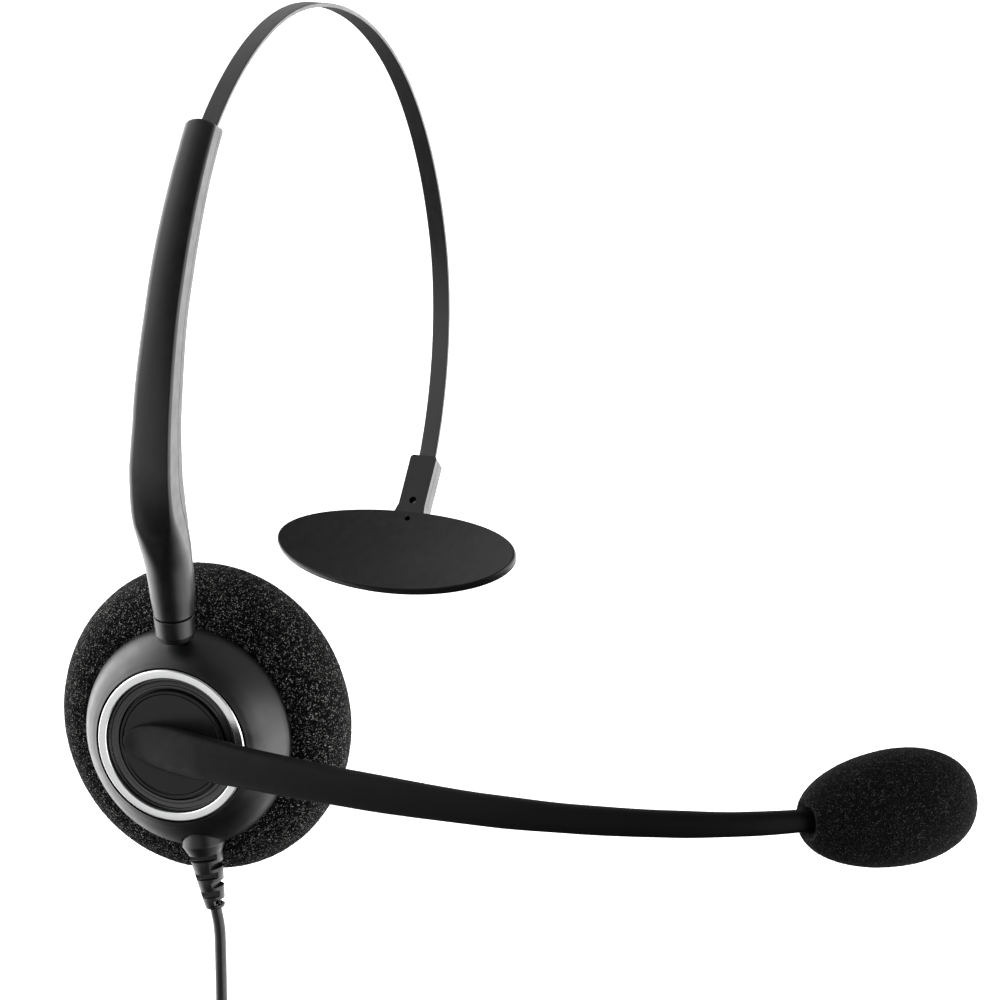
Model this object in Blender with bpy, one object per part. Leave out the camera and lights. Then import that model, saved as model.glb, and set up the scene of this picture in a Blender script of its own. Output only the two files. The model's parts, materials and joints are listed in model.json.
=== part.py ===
"""Monaural office headset: ear cup with a foam cushion, microphone boom, spring headband and temple pad.

Frame: the origin is the centre of the ear cushion's face, where it rests on the ear. +X is forward, the way
the boom points, +Y goes from the ear cup through the head to the temple pad, and +Z is up.
Lengths are in millimetres and become metres where a piece is made. A depth is a distance along +Y from the
plane of the cup's bright trim ring, the face furthest from the head.
"""

import math

import bmesh
import bpy
from mathutils import Matrix, Vector

MM = 0.001
GAP = 0.3  # clearance between pieces that touch on the real headset

# Ear cup, turned about the Y axis: radius, and depth from the trim ring's face
CUSHION_DEPTH = 27.0  # from the trim ring's face to the ear cushion's face
CUSHION_RADIUS = 27.5
CUSHION_OVAL = (0.99, 1.0, 1.03)
CUP_RADIUS = 19.6
CUP_WALL = 1.6
TRIM_RADIUS = 14.15
TRIM_WIDTH = 1.45
HUB_RADIUS = 10.1
AXLE_RADIUS = 3.3
NECK_RADIUS = 16.7
BOSS_CIRCLE = 13.6
BOSS_ANGLES = (35.0, 145.0, 235.0)
DRIVER_RADIUS = 11.5

# Boom: its centre line is a chain of arcs in the XY plane, (radius, sweep in degrees)
BOOM_START = (7.1, -4.1)
BOOM_HEADING = -16.5
BOOM_ARCS = ((255.0, 12.0), (113.0, 21.4), (60.7, 27.5))
MIC_CENTRE = (130.1, 10.0)
MIC_HEADING = 46.0
WINDSCREEN_LENGTH = 34.0
WINDSCREEN_RADIUS = 10.2

# Arm: its centre line is a chain of arcs in the YZ plane, from the swivel joint up
ARM_START = (2.5, 22.9)
ARM_HEADING = 101.0
ARM_ARCS = ((108.6, 11.0), (22.5, -25.7), (89.8, -40.0))
ARM_WALL = 0.8

# Headband: the strip slides in the arm on its first arc, whose centre is the slide's centre
SLIDE_CENTRE = (59.9, 59.7)
SLIDE_RADIUS = 62.6
BAND_WIDTH = 3.4
BAND_THICKNESS = 1.0
BAND_INNER_END = 162.0
BAND_ARC_END = 82.8
BAND_ARCS = ((83.8, -66.3), (54.6, -46.9), (12.0, -10.6))
STRIP_IN_STEM = 7.0

# Temple pad
STEM_WIDTH = 5.4
STEM_LENGTH = 11.5
STEM_THICKNESS = 4.2
STEM_SPLIT = 0.8  # each half starts this far from the strip's middle
STEM_LEAN = 41.0  # from the vertical, in degrees
STEM_SCREW = 9.1  # down from the stem's top
PAD_LENGTH = 49.0
PAD_HEIGHT = 18.7
PAD_THICKNESS = 3.2
PAD_LEAN = 52.0
PAD_SCREW = 1.9  # down from the pad's top

# Cord
CORD_DIAMETER = 2.1
RELIEF_LEAN = 10.0  # forward from straight down, in degrees
RELIEF_DEPTH = 6.5
RELIEF_END = 32.4
FLOOR_Z = -140.0
CORD_HANG = (6.6, 6.5)  # X, and depth, of the hanging stretch
COIL_CENTRE = (22.0, 28.5)
COIL_RING = 11.0  # the coil's middle diameter, in cord diameters
COIL_COLUMNS = 4.3
COIL_LAYERS = 4.3
CORD_TO_COIL = 19.0
TAIL_OFFSET = 14.7
TAIL_STATIONS = (31.5, 38.0, 44.0, 50.0)
TIE_WIDTH = 3.0
TIE_THICKNESS = 0.5
PLUG_SIZE = (11.7, 7.6, 6.6)

FINISHES = {
    "cup_plastic": ((0.022, 0.022, 0.023), 0.42, 0.0),
    "trim_silver": ((0.72, 0.73, 0.74), 0.28, 1.0),
    "bearing_grey": ((0.050, 0.050, 0.052), 0.40, 0.0),
    "boom_plastic": ((0.014, 0.014, 0.014), 0.50, 0.0),
    "arm_plastic": ((0.020, 0.020, 0.021), 0.38, 0.0),
    "inner_plastic": ((0.035, 0.035, 0.036), 0.55, 0.0),
    "foam": ((0.012, 0.012, 0.012), 0.95, 0.0),
    "band_steel": ((0.030, 0.030, 0.031), 0.35, 0.6),
    "pad_rubber": ((0.020, 0.020, 0.020), 0.60, 0.0),
    "steel": ((0.55, 0.55, 0.56), 0.30, 1.0),
    "magnet_nickel": ((0.60, 0.59, 0.56), 0.25, 1.0),
    "film": ((0.55, 0.50, 0.40), 0.35, 0.0),
    "copper": ((0.72, 0.42, 0.25), 0.35, 1.0),
    "board_green": ((0.02, 0.16, 0.06), 0.45, 0.0),
    "cloth": ((0.05, 0.05, 0.05), 0.90, 0.0),
    "cord_rubber": ((0.016, 0.016, 0.016), 0.55, 0.0),
    "plug_clear": ((0.80, 0.82, 0.83), 0.12, 0.0),
    "contact_gold": ((0.90, 0.66, 0.25), 0.22, 1.0),
}


def radians(degrees):
    return degrees * math.pi / 180.0


def at_depth(x, depth, z):
    return Vector((x, depth - CUSHION_DEPTH, z))


# ---------------------------------------------------------------- scene, materials and bodies


def clear_scene():
    for item in list(bpy.data.objects):
        bpy.data.objects.remove(item, do_unlink=True)


def make_materials():
    made = {}
    for name, (colour, roughness, metallic) in FINISHES.items():
        finish = bpy.data.materials.new(name)
        finish.use_nodes = True
        shader = finish.node_tree.nodes["Principled BSDF"]
        shader.inputs["Base Color"].default_value = (*colour, 1.0)
        shader.inputs["Roughness"].default_value = roughness
        shader.inputs["Metallic"].default_value = metallic
        made[name] = finish
    return made


def make_body(name, origin_mm):
    """An empty on a body's joint. The body's pieces are parented to it."""
    empty = bpy.data.objects.new(name, None)
    empty.empty_display_size = 0.01
    empty.location = Vector(origin_mm) * MM
    bpy.context.scene.collection.objects.link(empty)
    return empty


# ---------------------------------------------------------------- solids


def add_piece(name, bm, finish, body):
    """Makes a named object of a bmesh in millimetres, with its origin on its body's joint."""
    bmesh.ops.recalc_face_normals(bm, faces=bm.faces)
    bmesh.ops.scale(bm, vec=(MM, MM, MM), verts=bm.verts)
    bmesh.ops.translate(bm, vec=-BODIES[body].location, verts=bm.verts)
    mesh = bpy.data.meshes.new(name)
    bm.to_mesh(mesh)
    bm.free()
    mesh.materials.append(MATERIALS[finish])
    mesh.shade_smooth()
    mesh.set_sharp_from_angle(angle=radians(35))
    piece = bpy.data.objects.new(name, mesh)
    piece.parent = BODIES[body]
    bpy.context.scene.collection.objects.link(piece)
    return piece


def turned(profile, centre, axis, steps=40):
    """Spins a profile of (radius, distance along the axis). An end at radius 0 closes on the axis, and a
    profile that stays off the axis is closed into a ring."""
    axis = Vector(axis).normalized()
    side = axis.orthogonal().normalized()
    bm = bmesh.new()
    points = [bm.verts.new(Vector(centre) + side * r + axis * along) for r, along in profile]
    edges = [bm.edges.new(pair) for pair in zip(points, points[1:])]
    if profile[0][0] > 0 or profile[-1][0] > 0:
        edges.append(bm.edges.new((points[-1], points[0])))
    bmesh.ops.spin(
        bm, geom=points + edges, cent=centre, axis=axis, dvec=(0, 0, 0), angle=2 * math.pi, steps=steps, use_merge=True
    )
    bmesh.ops.remove_doubles(bm, verts=bm.verts, dist=1e-4)
    return bm


def loft(sections):
    """A solid through closed sections with equal numbers of points, capped at both ends."""
    bm = bmesh.new()
    rings = [[bm.verts.new(p) for p in section] for section in sections]
    count = len(rings[0])
    for low, high in zip(rings, rings[1:]):
        for i in range(count):
            j = (i + 1) % count
            bm.faces.new((low[i], low[j], high[j], high[i]))
    bm.faces.new(rings[0][::-1])
    bm.faces.new(rings[-1])
    return bm


def loft_tube(outer, inner):
    """A hollow solid between two lofts of the same number of points, open at both ends."""
    bm = bmesh.new()
    outside = [[bm.verts.new(p) for p in section] for section in outer]
    inside = [[bm.verts.new(p) for p in section] for section in inner]
    count = len(outside[0])
    for rings in (outside, inside):
        for low, high in zip(rings, rings[1:]):
            for i in range(count):
                j = (i + 1) % count
                bm.faces.new((low[i], low[j], high[j], high[i]))
    for end in (0, -1):
        for i in range(count):
            j = (i + 1) % count
            bm.faces.new((outside[end][i], outside[end][j], inside[end][j], inside[end][i]))
    return bm


def block(size, centre, turn=None, bevel=0.0):
    bm = bmesh.new()
    bmesh.ops.create_cube(bm, size=1.0)
    bmesh.ops.scale(bm, vec=size, verts=bm.verts)
    if bevel:
        bmesh.ops.bevel(bm, geom=bm.edges[:], offset=bevel, segments=2, affect="EDGES", profile=0.5)
    if turn is not None:
        bmesh.ops.rotate(bm, cent=(0, 0, 0), matrix=turn, verts=bm.verts)
    bmesh.ops.translate(bm, vec=centre, verts=bm.verts)
    return bm


def extruded(outline, thickness, place):
    """A plate: an outline in its own XY plane, its thickness along its own Z, put in place by a matrix."""
    bm = bmesh.new()
    face = bm.faces.new([bm.verts.new((x, y, 0.0)) for x, y in outline])
    grown = bmesh.ops.extrude_face_region(bm, geom=[face])
    raised = [v for v in grown["geom"] if isinstance(v, bmesh.types.BMVert)]
    bmesh.ops.translate(bm, vec=(0, 0, thickness), verts=raised)
    bmesh.ops.transform(bm, matrix=place, verts=bm.verts)
    return bm


def cylinder(radius, start, end, steps=20):
    axis = Vector(end) - Vector(start)
    return turned([(0.0, 0.0), (radius, 0.0), (radius, axis.length), (0.0, axis.length)], start, axis, steps)


def cut(piece, bm, operation="DIFFERENCE"):
    """Cuts a bmesh in millimetres from a piece, or joins it on, with a Boolean modifier."""
    body = piece.parent
    bmesh.ops.recalc_face_normals(bm, faces=bm.faces)
    bmesh.ops.scale(bm, vec=(MM, MM, MM), verts=bm.verts)
    bmesh.ops.translate(bm, vec=-body.location, verts=bm.verts)
    mesh = bpy.data.meshes.new(piece.name + "_tool")
    bm.to_mesh(mesh)
    bm.free()
    tool = bpy.data.objects.new(piece.name + "_tool", mesh)
    tool.parent = body
    tool.hide_render = True
    tool.display_type = "WIRE"
    bpy.context.scene.collection.objects.link(tool)
    modifier = piece.modifiers.new("cut", "BOOLEAN")
    modifier.operation = operation
    modifier.object = tool


def cord_curve(name, points, diameter, finish, body):
    """A cord: a round tube along a smooth curve through its route's points."""
    origin = BODIES[body].location
    curve = bpy.data.curves.new(name, "CURVE")
    curve.dimensions = "3D"
    curve.bevel_depth = diameter / 2 * MM
    curve.bevel_resolution = 2
    curve.use_fill_caps = True
    spline = curve.splines.new("POLY")
    spline.points.add(len(points) - 1)
    for knot, point in zip(spline.points, points):
        knot.co = (*(Vector(point) * MM - origin), 1.0)
    curve.materials.append(MATERIALS[finish])
    piece = bpy.data.objects.new(name, curve)
    piece.parent = BODIES[body]
    bpy.context.scene.collection.objects.link(piece)
    return piece


# ---------------------------------------------------------------- paths and sections


def arc_chain(start, heading, arcs, step):
    """Points and headings along tangent arcs in a plane. A positive sweep turns left."""
    found = [(Vector(start), radians(heading))]
    for radius, sweep in arcs:
        length = radius * abs(radians(sweep))
        count = max(2, round(length / step))
        turn = radians(sweep) / count
        chord = 2 * radius * math.sin(abs(turn) / 2)
        for _ in range(count):
            point, angle = found[-1]
            middle = angle + turn / 2
            found.append((point + chord * Vector((math.cos(middle), math.sin(middle))), angle + turn))
    return found


def smooth_route(route, count):
    """Evenly spaced points on a Catmull-Rom curve through the route's points."""
    route = [Vector(p) for p in route]
    padded = [2 * route[0] - route[1], *route, 2 * route[-1] - route[-2]]
    fine = []
    for a, b, c, d in zip(padded, padded[1:], padded[2:], padded[3:]):
        for k in range(24):
            t = k / 24
            fine.append(
                0.5 * (2 * b + (c - a) * t + (2 * a - 5 * b + 4 * c - d) * t * t + (3 * b - a - 3 * c + d) * t**3)
            )
    fine.append(route[-1])
    along = [0.0]
    for p, q in zip(fine, fine[1:]):
        along.append(along[-1] + (q - p).length)
    points, i = [], 0
    for k in range(count):
        want = along[-1] * k / (count - 1)
        while i < len(fine) - 2 and along[i + 1] < want:
            i += 1
        share = (want - along[i]) / (along[i + 1] - along[i])
        points.append(fine[i].lerp(fine[i + 1], min(1.0, share)))
    return points


def interpolate(table, s):
    """A row of values at s, from a table of (s, values...) rows."""
    for low, high in zip(table, table[1:]):
        if s <= high[0]:
            t = max(0.0, (s - low[0]) / (high[0] - low[0]))
            t = t * t * (3 - 2 * t)
            return [a + (b - a) * t for a, b in zip(low[1:], high[1:])]
    return list(table[-1][1:])


def power(value, exponent):
    return math.copysign(abs(value) ** exponent, value)


def rounded_section(width, height, squareness, steps=16):
    """A superellipse: squareness 2 is an ellipse, and a larger one is closer to a rectangle."""
    return [
        (
            width / 2 * power(math.cos(2 * math.pi * k / steps), 2 / squareness),
            height / 2 * power(math.sin(2 * math.pi * k / steps), 2 / squareness),
        )
        for k in range(steps)
    ]


def half_section(width, height, squareness, wall, split, side, steps=8):
    """One half of a hollow rounded section, cut at a height: side +1 is the half above it, -1 below."""

    def edge(w, h):
        start = math.asin(max(-1.0, min(1.0, power(2 * split / h, squareness / 2))))
        found = []
        for k in range(steps + 1):
            angle = start + (math.pi - 2 * start) * k / steps
            if side < 0:
                angle = start - (math.pi + 2 * start) * k / steps
            found.append((w / 2 * power(math.cos(angle), 2 / squareness), h / 2 * power(math.sin(angle), 2 / squareness)))
        return found

    return edge(width, height) + edge(width - 2 * wall, height - 2 * wall)[::-1]


def in_side_plane(point, heading, section):
    """Places a section across a path in the YZ plane: x is X, and y points away from the head."""
    outward = Vector((-math.sin(heading), math.cos(heading)))
    return [at_depth(x, point[0] + outward[0] * n, point[1] + outward[1] * n) for x, n in section]


def in_level_plane(point, heading, section):
    """Places a section across a path in the XY plane: x is up, and y is across the path."""
    across = Vector((-math.sin(heading), math.cos(heading)))
    return [at_depth(point[0] + across[0] * n, point[1] + across[1] * n, z) for z, n in section]


# ---------------------------------------------------------------- ear cup


def make_ear_cup():
    centre = at_depth(0, 0, 0)
    flank = [(14.45, 0.25), (15.8, 1.2), (17.2, 2.7), (18.4, 4.8), (19.25, 6.9), (CUP_RADIUS, 8.3), (CUP_RADIUS, 9.2)]
    inside = [(17.5, 7.6), (17.3, 6.7), (16.4, 4.9), (15.2, 3.6)]
    shell = turned(
        [(3.6, 1.9), (14.45, 1.9), *flank, (NECK_RADIUS, 9.2), (NECK_RADIUS, 11.9), (15.3, 11.9), (15.3, 7.6)]
        + inside
        + [(3.6, 3.6)],
        centre,
        (0, 1, 0),
        48,
    )
    shell = add_piece("ear_cup_shell", shell, "cup_plastic", "ear_cup")
    for angle in BOSS_ANGLES:
        x, z = BOSS_CIRCLE * math.cos(radians(angle)), BOSS_CIRCLE * math.sin(radians(angle))
        cut(shell, cylinder(1.6, at_depth(x, 3.2, z), at_depth(x, 11.9, z), 12), "UNION")
        cut(shell, cylinder(1.0, at_depth(x, 6.5, z), at_depth(x, 12.2, z), 12))
    for side in (-1, 1):
        cut(shell, block((1.8, 3.45, 3.2), at_depth(side * 2.7, 4.475, 15.0)), "UNION")
    cut(shell, block((3.6, 4.6, 3.9), at_depth(0, 4.4, 15.1)))
    cut(shell, block((3.6, 7.0, 4.0), at_depth(0, 3.0, 18.9)))
    cut(shell, cylinder(0.8, at_depth(-4.2, *TILT_PIN), at_depth(4.2, *TILT_PIN), 16))
    cut(shell, cylinder(4.6, collar_point(-5.1), collar_point(4.0), 24))
    cut(shell, cylinder(3.6, relief_point(12.0), relief_point(16.3), 20))
    cut(shell, cylinder(2.9, relief_point(13.0), relief_point(23.0), 20))

    trim = [(TRIM_RADIUS - TRIM_WIDTH, 0.3), (TRIM_RADIUS - TRIM_WIDTH + 0.3, 0.0), (TRIM_RADIUS - 0.3, 0.0)]
    trim += [(TRIM_RADIUS, 0.3), (TRIM_RADIUS, 1.6), (TRIM_RADIUS - TRIM_WIDTH, 1.6)]
    add_piece("trim_ring", turned(trim, centre, (0, 1, 0), 64), "trim_silver", "ear_cup")
    bearing = [(10.4, 1.0), (12.1, 0.8), (12.4, 1.1), (12.4, 1.6), (10.4, 1.6)]
    add_piece("boom_bearing_ring", turned(bearing, centre, (0, 1, 0), 48), "bearing_grey", "ear_cup")

    plate = turned([(11.8, 12.2), (19.8, 12.2), (19.8, 13.7), (11.8, 13.7)], centre, (0, 1, 0), 48)
    plate = add_piece("ear_cup_back_plate", plate, "inner_plastic", "ear_cup")
    for number, angle in enumerate(BOSS_ANGLES, 1):
        x, z = BOSS_CIRCLE * math.cos(radians(angle)), BOSS_CIRCLE * math.sin(radians(angle))
        cut(plate, cylinder(1.0, at_depth(x, 11.5, z), at_depth(x, 14.2, z), 12))
        cut(plate, cylinder(1.8, at_depth(x, 12.8, z), at_depth(x, 14.2, z), 16))
        screw = turned(
            [(0.0, 7.2), (0.7, 7.6), (0.7, 13.1), (1.5, 13.1), (1.5, 13.5), (1.1, 13.9), (0.0, 13.9)],
            at_depth(x, 0, z),
            (0, 1, 0),
            12,
        )
        add_piece(f"ear_cup_screw_{number}", screw, "steel", "ear_cup")
    pin = cylinder(0.5, at_depth(-3.3, *TILT_PIN), at_depth(3.3, *TILT_PIN), 16)
    add_piece("tilt_pin", pin, "steel", "ear_cup")


def make_driver():
    centre = at_depth(0, 0, 0)
    basket = [(6.9, 9.6), (9.8, 9.9), (DRIVER_RADIUS, 11.4), (DRIVER_RADIUS, 13.5), (10.7, 13.5), (10.7, 12.0)]
    basket += [(9.4, 10.9), (6.9, 10.6)]
    add_piece("driver_frame", turned(basket, centre, (0, 1, 0), 32), "inner_plastic", "ear_cup")
    magnet = [(0.0, 8.6), (6.2, 8.6), (6.6, 9.0), (6.6, 11.2), (0.0, 11.2)]
    add_piece("driver_magnet", turned(magnet, centre, (0, 1, 0), 32), "magnet_nickel", "ear_cup")
    coil = [(4.6, 11.5), (5.2, 11.5), (5.2, 12.5), (4.6, 12.5)]
    add_piece("driver_voice_coil", turned(coil, centre, (0, 1, 0), 24), "copper", "ear_cup")
    film = [(0.0, 13.4), (3.2, 13.2), (5.3, 12.8), (7.6, 13.4), (10.3, 13.0), (10.3, 13.3), (7.6, 13.7), (5.3, 13.1)]
    film += [(3.2, 13.5), (0.0, 13.7)]
    add_piece("driver_diaphragm", turned(film, centre, (0, 1, 0), 32), "film", "ear_cup")
    cloth = cylinder(11.9, at_depth(0, 14.0, 0), at_depth(0, 14.3, 0), 32)
    add_piece("driver_cloth", cloth, "cloth", "ear_cup")


def make_cushion():
    profile = [(17.0, 9.6), (20.3, 9.7), (23.4, 10.7), (25.9, 13.2), (27.2, 16.6), (CUSHION_RADIUS, 19.4)]
    profile += [(27.0, 22.3), (25.3, 25.0), (22.6, 26.6), (20.3, CUSHION_DEPTH), (0.0, CUSHION_DEPTH)]
    pocket = [(0.0, 14.6), (20.1, 14.6), (20.1, 11.9), (17.0, 11.9)]
    bm = turned_open(profile, pocket)
    bmesh.ops.scale(bm, vec=CUSHION_OVAL, verts=bm.verts)
    add_piece("ear_cushion", bm, "foam", "ear_cup")


def turned_open(profile, pocket):
    """The cushion's skin: the outside down to the axis and the pocket back out from it, as one spun line."""
    centre = at_depth(0, 0, 0)
    bm = bmesh.new()
    steps = 48
    rings = []
    for r, depth in profile + pocket:
        if r == 0.0:
            rings.append([bm.verts.new(centre + Vector((0, depth, 0)))] * steps)
            continue
        rings.append(
            [
                bm.verts.new(
                    centre
                    + Vector((r * math.cos(2 * math.pi * k / steps), depth, r * math.sin(2 * math.pi * k / steps)))
                )
                for k in range(steps)
            ]
        )
    for index, low in enumerate(rings):
        high = rings[(index + 1) % len(rings)]
        if low[0] is low[1] and high[0] is high[1]:
            continue
        for i in range(steps):
            j = (i + 1) % steps
            corners = [low[i], low[j], high[j], high[i]]
            bm.faces.new([v for n, v in enumerate(corners) if v not in corners[:n]])
    return bm


def relief_axis():
    return Vector((math.sin(radians(RELIEF_LEAN)), 0, -math.cos(radians(RELIEF_LEAN))))


def relief_point(radius):
    return at_depth(0, RELIEF_DEPTH, 0) + relief_axis() * radius


def make_cup_wiring():
    board = block((11.0, 0.8, 4.7), at_depth(0, 5.2, -9.55))
    add_piece("terminal_board", board, "board_green", "ear_cup")
    route = [relief_point(14.7), relief_point(13.4), relief_point(12.0), at_depth(1.5, 7.4, -9.6), at_depth(1.0, 7.4, -7.6)]
    lead = smooth_route(route, 14)
    cord_curve("cord_inner_lead", lead, 1.2, "cord_rubber", "ear_cup")
    clamp = add_piece("cord_clamp", block((5.0, 2.8, 1.4), at_depth(2.6, 6.4, -13.0), bevel=0.25), "inner_plastic", "ear_cup")
    cut(clamp, cylinder(1.0, relief_point(11.0), relief_point(16.0), 16))


def make_strain_relief():
    steps = [(0.0, 15.0), (3.3, 15.0), (3.3, 16.0), (2.5, 16.0), (2.5, 19.9), (3.7, 19.9), (3.6, 22.0)]
    steps += [(1.9, 31.6), (1.7, RELIEF_END), (0.0, RELIEF_END)]
    relief = add_piece("strain_relief", turned(steps, relief_point(0), relief_axis(), 24), "cord_rubber", "ear_cup")
    turn = Matrix.Rotation(radians(-RELIEF_LEAN), 3, "Y")
    cut(relief, block((10.0, 2.0, 8.0), relief_point(22.0) + Vector((0, 3.85, 0)), turn))
    for number in range(3):
        for side in (-1, 1):
            across = relief_point(22.6 + 3.5 * number) + Vector((0, side * 3.2, 0))
            cut(relief, block((9.0, 3.0, 0.9), across, turn))
            along = relief_point(24.3 + 3.5 * number) + turn @ Vector((side * 3.2, 0, 0))
            cut(relief, block((3.0, 9.0, 0.9), along, turn))


# ---------------------------------------------------------------- boom


def boom_stations():
    """(point, heading, height, thickness) along the boom, from its tip on the hub to the microphone."""
    stations = [
        (Vector((-8.9, -0.35)), radians(-6), 1.8, 0.5),
        (Vector((-7.6, -0.55)), radians(-8), 5.0, 0.8),
        (Vector((-5.2, -0.85)), radians(-9), 7.4, 1.3),
        (Vector((-1.6, -1.55)), radians(-12), 8.6, 2.4),
        (Vector((2.6, -2.6)), radians(-15), 8.7, 3.7),
    ]
    sizes = [(0.0, 8.1, 4.4), (14.0, 7.4, 4.4), (33.0, 6.8, 4.2), (60.0, 5.8, 3.9), (75.0, 5.2, 3.7)]
    sizes += [(92.0, 4.8, 3.5), (104.0, 4.3, 3.4), (118.0, 3.9, 3.3)]
    s, last = 0.0, None
    for point, heading in arc_chain(BOOM_START, BOOM_HEADING, BOOM_ARCS, 5.0):
        if last is not None:
            s += (point - last).length
        last = point
        height, thickness = interpolate(sizes, s)
        stations.append((point, heading, height, thickness))
    return stations


def make_boom():
    centre = at_depth(0, 0, 0)
    hub = [(0.0, 0.5), (9.0, 0.5), (9.3, 0.3), (9.8, 0.3), (HUB_RADIUS, 0.6), (HUB_RADIUS, 1.6), (AXLE_RADIUS, 1.6)]
    hub += [(AXLE_RADIUS, 5.2), (0.0, 5.2)]
    hub = add_piece("boom_hub", turned(hub, centre, (0, 1, 0), 48), "boom_plastic", "boom")
    cut(hub, cylinder(1.1, at_depth(0, 2.0, 0), at_depth(0, 5.6, 0), 12))

    stations = boom_stations()
    outer, inner = [], []
    for point, heading, height, thickness in stations:
        outer.append(in_level_plane(point, heading, rounded_section(height, thickness, 2.5)))
    add_piece("boom_arm", loft(outer), "boom_plastic", "boom")
    bore = [(p, h) for p, h, _, _ in stations[5:]]
    for point, heading in [(bore[0][0], bore[0][1])] + bore[1:-1]:
        inner.append(in_level_plane(point, heading, rounded_section(1.7, 1.7, 2, 10)))
    end, heading = bore[-1]
    beyond = end + Vector((math.cos(heading), math.sin(heading)))
    inner.append(in_level_plane(beyond, heading, rounded_section(1.7, 1.7, 2, 10)))
    cut(bpy.data.objects["boom_arm"], loft(inner))
    lead = [at_depth(p[0], p[1], 0) for p, _ in bore[1:]]
    lead = smooth_route(lead, 40)
    cord_curve("mic_lead", lead, 1.0, "cord_rubber", "boom")

    steps = 32
    washer = bmesh.new()
    rings = []
    for r, face in ((3.7, 0), (6.0, 0), (6.0, 1), (3.7, 1)):
        ring = []
        for k in range(steps):
            angle = 2 * math.pi * k / steps
            wave = 4.4 + 0.18 * math.sin(3 * angle) - 0.15 + 0.3 * face
            ring.append(washer.verts.new(at_depth(r * math.cos(angle), wave, r * math.sin(angle))))
        rings.append(ring)
    for low, high in zip(rings, rings[1:] + rings[:1]):
        for i in range(steps):
            j = (i + 1) % steps
            washer.faces.new((low[i], low[j], high[j], high[i]))
    add_piece("boom_wave_washer", washer, "steel", "boom")
    retainer = turned([(1.2, 5.5), (6.2, 5.5), (6.2, 6.1), (1.2, 6.1)], centre, (0, 1, 0), 24)
    add_piece("boom_retaining_washer", retainer, "steel", "boom")
    screw = turned([(0.0, 2.4), (0.8, 2.8), (0.8, 6.4), (2.3, 6.4), (2.3, 7.1), (1.7, 7.6), (0.0, 7.6)], centre, (0, 1, 0), 16)
    add_piece("boom_screw", screw, "steel", "boom")


def make_microphone():
    heading = radians(MIC_HEADING)
    axis = Vector((math.cos(heading), math.sin(heading), 0))
    centre = at_depth(*MIC_CENTRE, 0)
    end, _, _, _ = boom_stations()[-1]
    joint = (at_depth(end[0], end[1], 0) - centre).dot(axis) + 0.9
    housing = [(0.8, joint), (2.6, joint), (3.2, joint + 0.8), (3.2, joint + 9.5), (2.6, joint + 9.5)]
    housing += [(2.6, joint + 1.4), (0.8, joint + 1.4)]
    add_piece("mic_housing", turned(housing, centre, axis, 20), "boom_plastic", "boom")
    capsule = [(0.0, joint + 5.6), (2.2, joint + 5.6), (2.2, joint + 8.6), (0.0, joint + 8.6)]
    add_piece("mic_capsule", turned(capsule, centre, axis, 20), "steel", "boom")
    cover = [(0.0, joint + 9.8), (3.1, joint + 9.8), (3.1, joint + 10.3), (0.0, joint + 10.3)]
    add_piece("mic_front_cloth", turned(cover, centre, axis, 20), "cloth", "boom")

    half = WINDSCREEN_LENGTH / 2
    profile = []
    for k in range(13):
        angle = math.pi * k / 12
        along = -half * math.cos(angle)
        bulge = 1 - 0.10 * math.cos(angle)  # fuller towards the free end
        profile.append((WINDSCREEN_RADIUS * math.sin(angle) ** 0.82 * bulge, along))
    outside = [(r, a) for r, a in profile[1:-1]] + [(0.0, half)]
    mouth = -half * math.cos(math.pi / 12)
    pocket = [(0.0, joint + 10.9), (3.6, joint + 10.9), (3.6, mouth)]
    bm = bmesh.new()
    side = axis.orthogonal().normalized()
    other = axis.cross(side)
    steps = 32
    rings = []
    for r, along in outside + pocket:
        if r == 0.0:
            rings.append([bm.verts.new(centre + axis * along)] * steps)
            continue
        ring = []
        for k in range(steps):
            angle = 2 * math.pi * k / steps
            ring.append(bm.verts.new(centre + axis * along + (side * math.cos(angle) + other * math.sin(angle)) * r))
        rings.append(ring)
    for index, low in enumerate(rings):
        high = rings[(index + 1) % len(rings)]
        if low[0] is low[1] and high[0] is high[1]:
            continue
        for i in range(steps):
            j = (i + 1) % steps
            corners = [low[i], low[j], high[j], high[i]]
            bm.faces.new([v for n, v in enumerate(corners) if v not in corners[:n]])
    add_piece("mic_windscreen", bm, "foam", "boom")


# ---------------------------------------------------------------- collar and arm


def collar_axis():
    heading = radians(ARM_HEADING)
    return Vector((0, math.cos(heading), math.sin(heading)))


def collar_point(along):
    return at_depth(0, *ARM_START) + collar_axis() * along


TILT_PIN = (ARM_START[0] - 7.5 * math.cos(radians(ARM_HEADING)), ARM_START[1] - 7.5 * math.sin(radians(ARM_HEADING)))


def make_collar():
    axis = collar_axis()
    profile = [(0.0, -4.3), (2.3, -4.3), (3.2, -3.9), (3.7, -3.1), (3.7, -0.3), (2.1, -0.3), (2.1, 5.0), (1.5, 5.0)]
    profile += [(1.5, 6.2), (2.1, 6.2), (1.8, 7.0), (0.0, 7.0)]
    collar = turned([(r, s) for r, s in profile], collar_point(0), axis, 28)
    collar = add_piece("swivel_collar", collar, "arm_plastic", "collar")
    turn = Matrix.Rotation(radians(ARM_HEADING - 90), 3, "X")
    cut(collar, block((2.8, 2.4, 5.2), collar_point(-6.3), turn, 0.4), "UNION")
    cut(collar, cylinder(0.8, at_depth(-2.5, *TILT_PIN), at_depth(2.5, *TILT_PIN), 16))


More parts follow.
